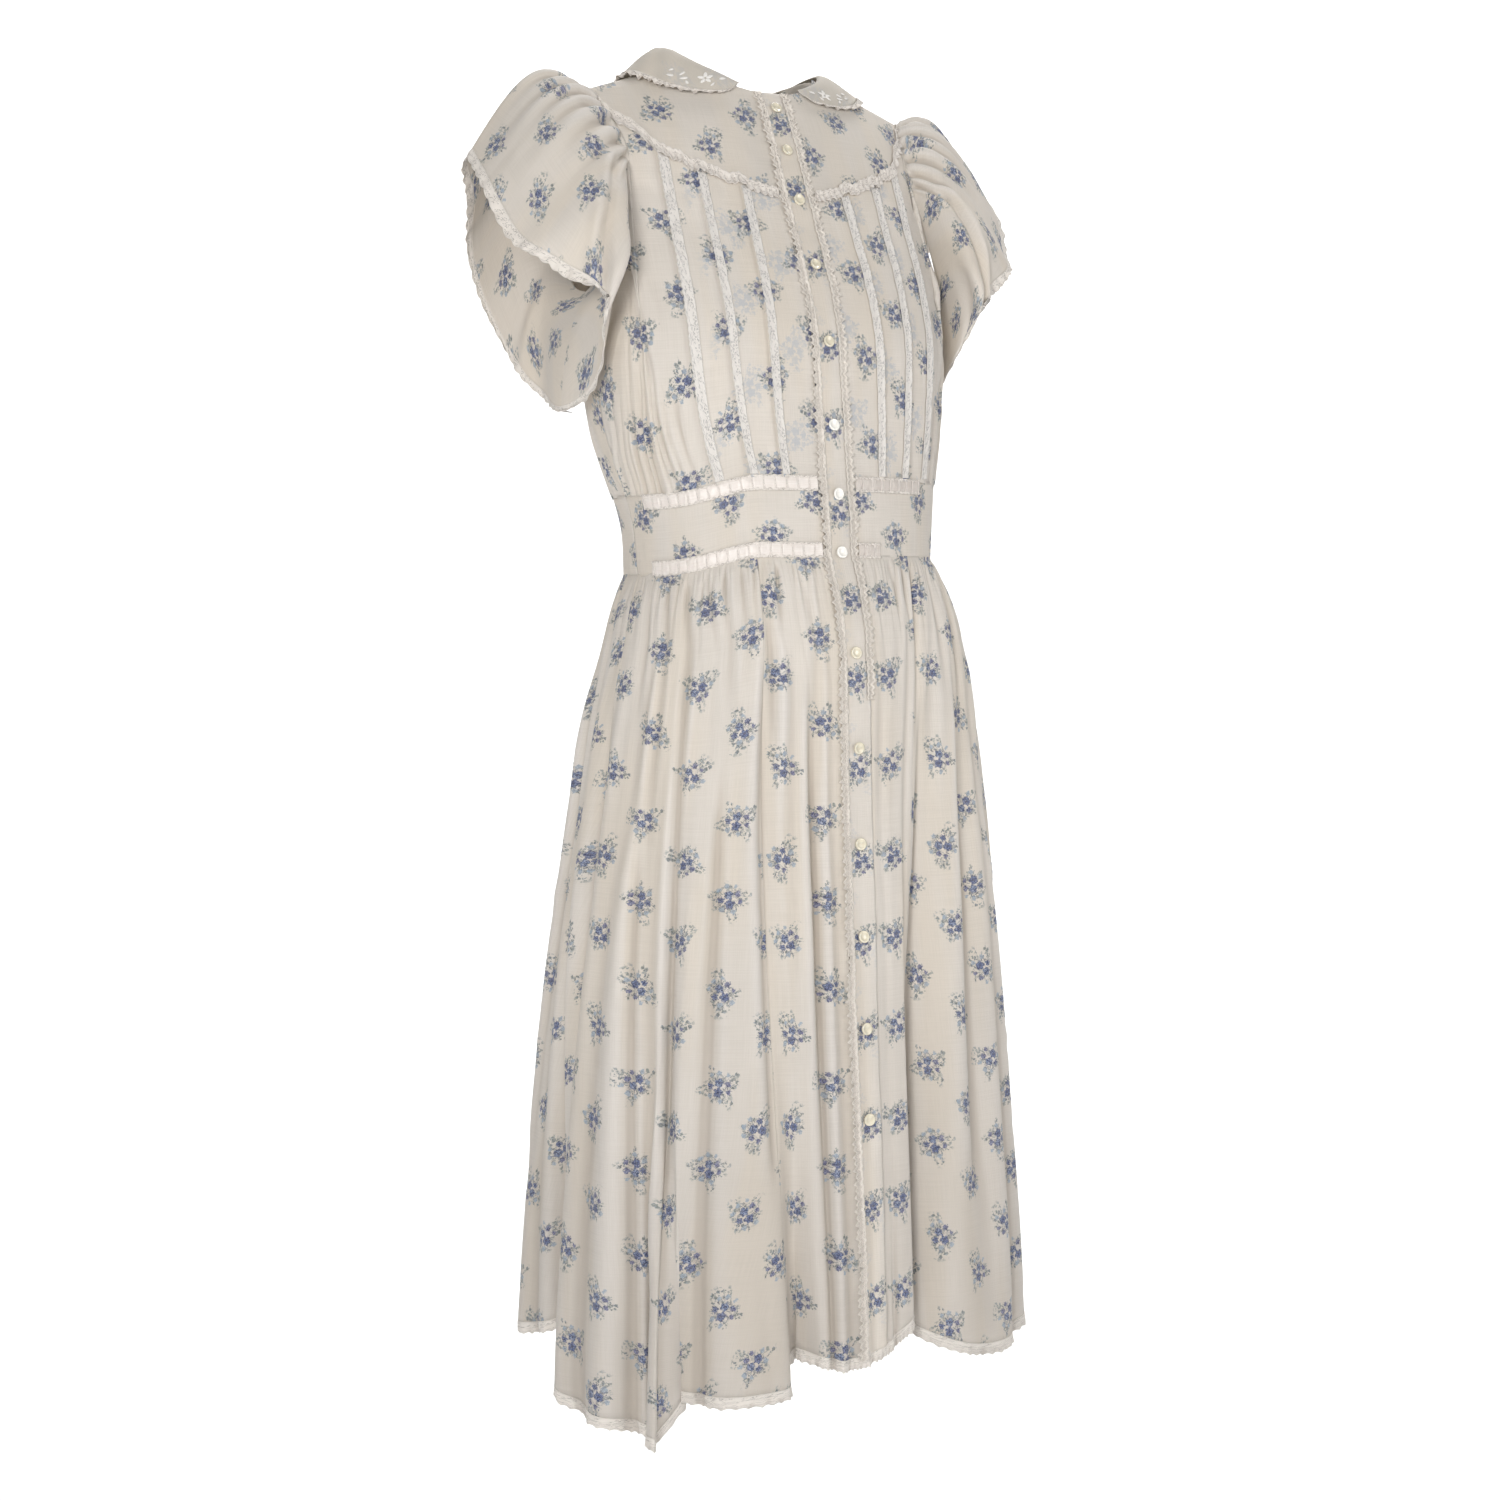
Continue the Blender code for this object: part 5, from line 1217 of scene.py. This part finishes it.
LADDER = {}
for name, sign, last, z0, z1 in (("upper_right", -1, 78.0, -0.3724, -0.3838), ("lower_right", -1, 78.0, -0.4292, -0.4406),
                                 ("upper_left", 1, 40.0, -0.3724, -0.3838), ("lower_left", 1, 17.0, -0.4292, -0.4406)):
    def strip(u, k, z0=z0, z1=z1):
        zz = z0 + (z1 - z0) * k
        return band(u, zz)

    cloth("ribbon_" + name + "_satin", strip, ribbon_relief, [sign * u for u in dense(((7.35, 1), (last, 1)), 2.6 * last)],
          [0.0, 0.06, 0.18, 0.35, 0.5, 0.65, 0.82, 0.94, 1.0], "axis", lift=0.0002,
          replaces=("ribbon_" + name,), mat=SATIN[sign], sheet="ribbon")
    # lace rails along both edges of the ribbon, wavy, and a bar across every few millimetres
    for tag, a, b in (("top", -0.09, 0.12), ("low", 0.88, 1.09)):
        def rail(u, k, a=a, b=b, z0=z0, z1=z1):
            kk = a + (b - a) * k + 0.05 * np.sin(u * 2.7) * (k - 0.5)
            return band(u, z0 + (z1 - z0) * kk)

        LADDER.setdefault("ribbon_" + name + "_satin", []).append("lace_%s_%s" % (name, tag))
        cloth("lace_%s_%s" % (name, tag), rail, lambda u, k: 0.0008 + 0.0006 * np.sin(np.pi * k) + 0 * u,
              [sign * u for u in dense(((7.3, 1), (last + 0.15, 1)), 4.2 * last)], [0.0, 0.3, 0.6, 1.0], "axis", lift=0.0003,
              thick=LACE_THIN, mat=LACE_EDGE, sheet="rail")
    centres = [c for c in np.arange(0.5, 90 / BAR) * BAR if 8.2 < c < last]
    for kk, c in enumerate(centres):
        def bar_of(u, k, c=c, sign=sign, z0=z0, z1=z1):
            return band(sign * (c + (0.40 + 0.12 * np.sin(c)) * u + 0.22 * np.sin(c * 3.0) * (k - 0.5)), z0 + (z1 - z0) * k)

        LADDER["ribbon_" + name + "_satin"].append("bar_%s_%02d" % (name, kk))
        cloth("bar_%s_%02d" % (name, kk), bar_of, lambda u, k: 0.0010 + 0.0005 * np.cos(u * np.pi / 2) + 0 * k,
              [-1.0, -0.5, 0.0, 0.5, 1.0], list(np.linspace(0.02, 0.98, 9)), "axis", lift=0.0002, thick=LACE_THIN,
              mat=LACE_BAR, sheet="bar")

# skirt
T_SKIRT = dense(((-0.004, 4.5), (0.08, 2.4), (0.25, 1.1), (0.6, 1.0), (1.003, 1)), 106)


def panel_relief(u, t):
    low = hem_z(u) + HEM_LACE
    return skirt_relief(u, SKIRT_TOP + (low - SKIRT_TOP) * t)


for name, a, b, count, zero in (("skirt_front_left", 5.8, 32.4, 74, 5.8), ("skirt_front_right", -32.4, -5.8, 78, -5.8),
                                ("skirt_side_left", 32.4, 90.0, 170, 60.0), ("skirt_side_right", -90.0, -32.4, 200, -60.0)):
    cloth("cloth_" + name, skirt_panel, panel_relief, dense(((a, 1), (b, 1)), count), T_SKIRT, "axis", replaces=(name,),
          mat=VOILE, metric_from=zero, sheet="skirt")


def rear(u, t):
    return skirt_panel(np.where(u > 180.0, u - 360.0, u), t)


def rear_relief(u, t):
    return panel_relief(np.where(u > 180.0, u - 360.0, u), t)


T_REAR = T_SKIRT[:-1][::2] + T_SKIRT[-1:]
cloth("cloth_skirt_back", rear, rear_relief, dense(((90.0, 1), (270.0, 1)), 310), T_REAR, "axis", replaces=("skirt_back",), mat=VOILE_BACK, metric_from=180.0, sheet="skirt")


def hem_edge(u, v):
    w = 1.0 - 0.16 * np.abs(np.cos(u * 2.2))
    return skirt(u, hem_z(u) + HEM_LACE * (1 - v * w))


def hem_relief(u, v):
    return skirt_relief(u, hem_z(u) + HEM_LACE * (1 - v)) + 0.0003 + 0.0008 * v * np.sin(u * 3.1) + 0.0008 * v * np.sin(u * 1.3)


cloth("lace_hem", hem_edge, hem_relief, list(np.linspace(-180, 180, int(1400 * FINE) + 1)[:-1]),
      [-0.08, 0.1, 0.3, 0.5, 0.7, 0.87, 1.0], "axis", thick=LACE_THIN, closed=True, replaces=("hem_lace",),
      mat=LACE_HEM, sheet="lace")

# placket
hem0 = float(hem_z(0.0)) + HEM_LACE
Z_ALL = list(np.linspace(-0.0262, hem0, int(420 * FINE)))


def centre_relief(x, z):
    u = np.degrees(np.arcsin(np.clip(x / 0.141, -1, 1)))
    low = skirt_relief(u, np.minimum(z, SKIRT_TOP))
    return placket_relief(x, z) + np.where(z < SKIRT_TOP, low, 0.0)


cloth("cloth_placket", centre, lambda x, z: 0.0009 + centre_relief(x, z), list(np.linspace(-PLACKET, PLACKET, 15)), Z_ALL,
      "axis", replaces=("placket",), mat=PLACKET_VOILE, metric_from=0.0, sheet="placket")

# the lace down each edge of the placket: two crinkled cords with an open net between them
Z_TRIM = list(np.linspace(-0.0262, hem0 - 0.002, int(1100 * FINE)))
for side, sign, lowest in (("right", -1, -2.0), ("left", 1, -0.563)):
    zz = [z for z in Z_TRIM if z > lowest]

    def trim(k, z, sign=sign):
        sway = 0.00105 * np.sin(z / 0.00088) + 0.0006 * np.sin(z / 0.0017 + 1.3) + 0.0011 * waves(z / 0.05, 201 + sign)
        x = TRIM_IN + (TRIM_OUT - TRIM_IN) * k + sway * (0.35 + k)
        return centre(sign * x, z)

    def trim_relief(k, z, sign=sign):
        fold = 0.0005 * np.sin(z / 0.00088 + 0.9) * k + 0.0006 * np.sin(z / 0.0031 + 2.0) * k
        cords = 0.0011 * (np.exp(-((k - 0.12) / 0.11) ** 2) + np.exp(-((k - 0.88) / 0.11) ** 2))
        return 0.0012 + centre_relief(0 * z + sign * 0.0137, z) + fold + cords

    cloth("lace_placket_" + side, trim, trim_relief, [0.0, 0.06, 0.14, 0.24, 0.38, 0.52, 0.66, 0.78, 0.88, 0.95, 1.0], zz, "axis",
          lift=0.0002, thick=LACE_THIN, replaces=("placket_lace_" + side,), mat=LACE_SIDE, sheet="lace")

# ---------------------------------------------------------------- collar embroidery
def petal(name, f, at, turn, long, wide, high, mat, lift=0.0012):
    """A satin-stitched petal: a small dome on the surface f round the point at, in metres along its two slopes."""
    r0, v0 = at
    e = 1e-2
    p0 = f(np.array([[r0]]), np.array([[v0]]))[0, 0]
    pr = (f(np.array([[r0 + e]]), np.array([[v0]]))[0, 0] - p0) / e
    pv = (f(np.array([[r0]]), np.array([[v0 + e * 0.1]]))[0, 0] - p0) / (e * 0.1)
    n = np.cross(pr, pv)
    n /= np.linalg.norm(n)
    if np.dot(n, p0 - np.array([0, -0.02, -0.25])) < 0:
        n = -n
    bm = bmesh.new()
    rings = [(0.0, 1.0), (0.35, 0.93), (0.65, 0.72), (0.88, 0.42), (1.0, 0.0)]
    grid = []
    for rad, h in rings:
        row = []
        for k in range(16 if rad else 1):
            a = 2 * math.pi * k / 16
            x, y = rad * math.cos(a) * long / 2, rad * math.sin(a) * wide / 2 * (1 - 0.25 * math.cos(a))
            X = x * math.cos(turn) - y * math.sin(turn)
            Y = x * math.sin(turn) + y * math.cos(turn)
            dr, dv = X / np.linalg.norm(pr), Y / np.linalg.norm(pv)
            p = f(np.array([[r0 + dr]]), np.array([[v0 + dv]]))[0, 0] + n * (lift - 0.0012 + high * h + 0.00012 * math.cos(k * math.pi) * (rad > 0.3))
            row.append(bm.verts.new(tuple(p)))
        grid.append(row)
    for k in range(16):
        bm.faces.new((grid[0][0], grid[1][k], grid[1][(k + 1) % 16]))
        for j in range(1, len(rings) - 1):
            bm.faces.new((grid[j][k], grid[j + 1][k], grid[j + 1][(k + 1) % 16], grid[j][(k + 1) % 16]))
    bm.faces.new([grid[-1][k] for k in range(15, -1, -1)])
    bmesh.ops.recalc_face_normals(bm, faces=bm.faces[:])
    return bm


EMBROIDERY = dict(cols=("round", "along", "turn", "long", "wide"), rows=(
    (43.0, 0.50, 0.2, 0.0062, 0.0034), (43.0, 0.50, 1.45, 0.0062, 0.0034), (43.0, 0.50, 2.7, 0.0062, 0.0034),
    (43.0, 0.50, 3.95, 0.0062, 0.0034), (43.0, 0.50, 5.2, 0.0062, 0.0034), (51.0, 0.62, 0.5, 0.0070, 0.0028),
    (36.5, 0.42, 3.6, 0.0060, 0.0026), (55.0, 0.50, 1.2, 0.0060, 0.0026), (38.0, 0.74, 4.4, 0.0050, 0.0024),
    (59.0, 0.68, 0.3, 0.0066, 0.0026), (49.0, 0.80, 5.6, 0.0052, 0.0024), (62.0, 0.54, 0.9, 0.0050, 0.0022),
))


def embroider(side, flip, f, mat):
    verts, faces = [], []
    for r, v, turn, long, wide in EMBROIDERY["rows"]:
        off = 0.62 * long
        p0 = f(np.array([[r]]), np.array([[v]]))[0, 0]
        lr = np.linalg.norm(f(np.array([[r + 0.5]]), np.array([[v]]))[0, 0] - p0) / 0.5
        lv = np.linalg.norm(f(np.array([[r]]), np.array([[v + 0.02]]))[0, 0] - p0) / 0.02
        bm = petal("", f, (r + off * math.cos(turn) / lr, v + off * math.sin(turn) / lv), turn, long, wide, 0.0008, mat)
        bm.verts.index_update()
        k = len(verts)
        verts += [tuple(w.co) for w in bm.verts]
        faces += [[k + w.index for w in face.verts] for face in bm.faces]
        bm.free()
    verts = settle(np.array(verts) * ((-1.0, 1.0, 1.0) if flip else (1.0, 1.0, 1.0)))
    me = bpy.data.meshes.new("embroidery_" + side)
    me.from_pydata([tuple(map(float, v)) for v in verts], [], [f_[::-1] if flip else f_ for f_ in faces])
    me.shade_smooth()
    ob = bpy.data.objects.new("embroidery_" + side, me)
    bpy.context.scene.collection.objects.link(ob)
    me.materials.append(mat)
    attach(ob, "root")
    return ob


def stitch_material():
    m = bpy.data.materials.new("embroidery")
    m.use_nodes = True
    m.node_tree.nodes.clear()
    n = Nodes(m.node_tree)
    at = n.node("ShaderNodeTexCoord").outputs["Object"]
    th = n.noise(at, 1500.0, 2.0, dims="3D")["Fac"]
    colour = n.mix(n.ramp(th, 0.35, 0.65), (0.84, 0.81, 0.77), (0.93, 0.91, 0.88))
    surface(n, colour, th, 0.6, 0.5, 0.08, sheen=0.3)
    return m


STITCH = stitch_material()
for side, flip, roll in (("left", False, LEFT_COLLAR), ("right", True, 1.0)):
    embroider(side, flip, lambda r, v, roll=roll: collar(r, v, roll), STITCH)

# ---------------------------------------------------------------- buttons
YOKE_C = (0.0, 0.12, 0.30, 0.55, 0.80, 1.0)
BODY_T = (0.0, 0.04, 0.15, 0.30, 0.46, 0.63, 0.82, 1.0)
SKIRT_T = (0.0, 0.04, 0.10, 0.21, 0.35, 0.51, 0.68, 0.84, 1.0)
levels = [-0.0262 + (-0.1235 + 0.0262) * t for t in YOKE_C]
levels += [-0.1235 + (WAIST_TOP + SEAM + 0.1235) * t for t in BODY_T[1:]]
levels += [-0.3838, -0.405, -0.4292, -0.4406]
levels += [SKIRT_TOP + (hem0 - SKIRT_TOP) * t for t in SKIRT_T[1:]]


def on_placket(z):
    hi = max(l for l in levels if l <= z)
    lo = min(l for l in levels if l > z)
    a, b = centre(0.0, hi), centre(0.0, lo)
    k = (z - hi) / (lo - hi)
    d = (b - a) / np.linalg.norm(b - a)
    n = np.array([0.0, -d[2], d[1]])
    return a + (b - a) * k, (n if n[1] < 0 else -n)


# the paler pearl is a painted highlight, for the buttons that catch the light
PEARL = {"cream": pearl("pearl_cream", (0.66, 0.605, 0.470)), "highlit": pearl("pearl_highlit", (0.83, 0.81, 0.76))}
# Half the section of a button, from the middle of its face to the middle of its back: radius, height.
BUTTON = dict(cols=("radius", "height"), rows=(
    (0.0, 0.62), (0.25, 0.60), (0.46, 0.66), (0.62, 0.86), (0.74, 0.98), (0.86, 1.0), (0.95, 0.88), (1.0, 0.62),
    (0.98, 0.34), (0.90, 0.10), (0.75, 0.0), (0.0, 0.0),
))
for k, z in enumerate(BUTTON_Z):
    p, nrm = on_placket(z)
    bm = bmesh.new()
    rows = []
    for rad, h in BUTTON["rows"]:
        cnt = 40 if rad else 1
        rows.append([bm.verts.new((BUTTON_R * rad * math.cos(2 * math.pi * i / 40), BUTTON_R * rad * math.sin(2 * math.pi * i / 40),
                                   BUTTON_T * h)) for i in range(cnt)])
    for i in range(40):
        j = (i + 1) % 40
        bm.faces.new((rows[0][0], rows[1][i], rows[1][j]))
        for a, b in zip(rows[1:-2], rows[2:-1]):
            bm.faces.new((a[i], b[i], b[j], a[j]))
        bm.faces.new((rows[-1][0], rows[-2][j], rows[-2][i]))
    me = bpy.data.meshes.new("pearl_button_%02d" % (k + 1))
    bmesh.ops.recalc_face_normals(bm, faces=bm.faces[:])
    bm.to_mesh(me)
    bm.free()
    me.shade_smooth()
    ob = bpy.data.objects.new("pearl_button_%02d" % (k + 1), me)
    bpy.context.scene.collection.objects.link(ob)
    ob.location = Vector(p + nrm * 0.0012)
    ob.rotation_mode = "QUATERNION"
    tilt = Vector((0.10 * math.sin(k * 2.3), 0.0, 0.12 * math.cos(k * 1.7)))
    if k == 5:
        tilt = Vector((-0.05, 0.0, 0.10))
    ob.rotation_quaternion = Vector((0.0, 0.0, 1.0)).rotation_difference((Vector(nrm) + tilt).normalized())
    # painted highlight: three buttons take the paler pearl where they catch the light
    me.materials.append(PEARL["highlit" if k in (5, 6, 7) else "cream"])
    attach(ob, "root")
    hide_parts("button_%02d" % (k + 1))

# ---------------------------------------------------------------- what each sheet was cut to
for ob, wide, long, area, kind in SHEETS:
    if kind in ("bar", "rail"):          # named with their ribbon
        continue
    if kind == "skirt":
        flat, held, on = (wide * 1.04, long * 1.02), "gathered", ["cloth_waistband_back"]
    elif kind == "front":
        flat, held, on = (wide * 1.05, long * 1.01), "gathered", []
    elif kind == "sleeve":
        flat, held, on = (wide * 1.02, long * 1.02), "gathered", []
    else:
        flat, held, on = (wide * 1.0, long * 1.0), "hung", []
    flat = (round(max(flat[0], 0.0105), 4), round(max(flat[1], 0.0105), 4))

# ---------------------------------------------------------------- floor, light, camera
def plain(name, colour):
    m = bpy.data.materials.new(name)
    m.use_nodes = True
    b = m.node_tree.nodes["Principled BSDF"]
    b.inputs["Base Color"].default_value = (*colour, 1.0)
    b.inputs["Roughness"].default_value = 0.95
    b.inputs["Specular IOR Level"].default_value = 0.0
    return m


bm = bmesh.new()
path = [(-4.0, -1.62), (2.2, -1.62)] + [(2.2 + 1.6 * math.sin(a), -0.02 - 1.6 * math.cos(a)) for a in np.linspace(0.05, math.pi / 2, 24)] + [(3.8, 3.4)]
ax = Vector((0.5, 0.8660254, 0.0))
across = Vector((0.8660254, -0.5, 0.0))
cols = [[bm.verts.new(tuple(ax * d + across * w + Vector((0, 0, z)))) for d, z in path] for w in (-6.0, 6.0)]
for i in range(len(path) - 1):
    bm.faces.new((cols[0][i], cols[1][i], cols[1][i + 1], cols[0][i + 1]))
me = bpy.data.meshes.new("backdrop")
bm.to_mesh(me)
bm.free()
me.shade_smooth()
backdrop = bpy.data.objects.new("backdrop", me)
bpy.context.scene.collection.objects.link(backdrop)
me.materials.append(plain("paper", (0.92, 0.92, 0.92)))

world = bpy.data.worlds.new("studio")
bpy.context.scene.world = world
world.use_nodes = True
bg = world.node_tree.nodes["Background"]
bg.inputs["Color"].default_value = (1.0, 1.0, 1.0, 1.0)
sky = Nodes(world.node_tree)
_, _, up = sky.parts(sky.node("ShaderNodeTexCoord").outputs["Generated"])
sky.link(sky.ramp(up, -0.1, 0.75, 0.54, 0.25), bg.inputs["Strength"])


def area_light(name, where, at, size, power, colour=(1, 1, 1)):
    li = bpy.data.lights.new(name, "AREA")
    li.shape = "DISK"
    li.size = size
    li.energy = power
    li.color = colour
    ob = bpy.data.objects.new(name, li)
    ob.location = where
    ob.rotation_euler = (Vector(at) - Vector(where)).to_track_quat("-Z", "Y").to_euler()
    bpy.context.scene.collection.objects.link(ob)
    return ob


area_light("key", (-1.8, -2.1, -0.05), (0.0, -0.05, -0.5), 0.8, 39.0, (1.0, 0.99, 0.975))
area_light("fill", (1.1, -2.5, 0.0), (0.0, -0.05, -0.4), 1.2, 17.0, (1.0, 0.985, 0.97))
area_light("paper_light", (1.2, 1.4, 2.6), (1.9, 3.3, -0.6), 2.4, 170.0)

cam = bpy.data.cameras.new("camera")
cam.sensor_width = 36.0
cam.lens = 36.0 * 2629.0 / 1500.0
cam.shift_y = -0.09
cam.clip_end = 40.0
camera = bpy.data.objects.new("camera", cam)
camera.location = (-1.1842, -2.0633, -0.49)
camera.rotation_euler = (math.pi / 2, 0.0, math.radians(-30.0))
bpy.context.scene.collection.objects.link(camera)
bpy.context.scene.camera = camera
bpy.context.scene.view_settings.view_transform = "Standard"
bpy.context.scene.view_settings.look = "None"

count = {ob.name: sum(len(p.vertices) - 2 for p in ob.data.polygons) for ob in bpy.data.objects if ob.type == "MESH"}
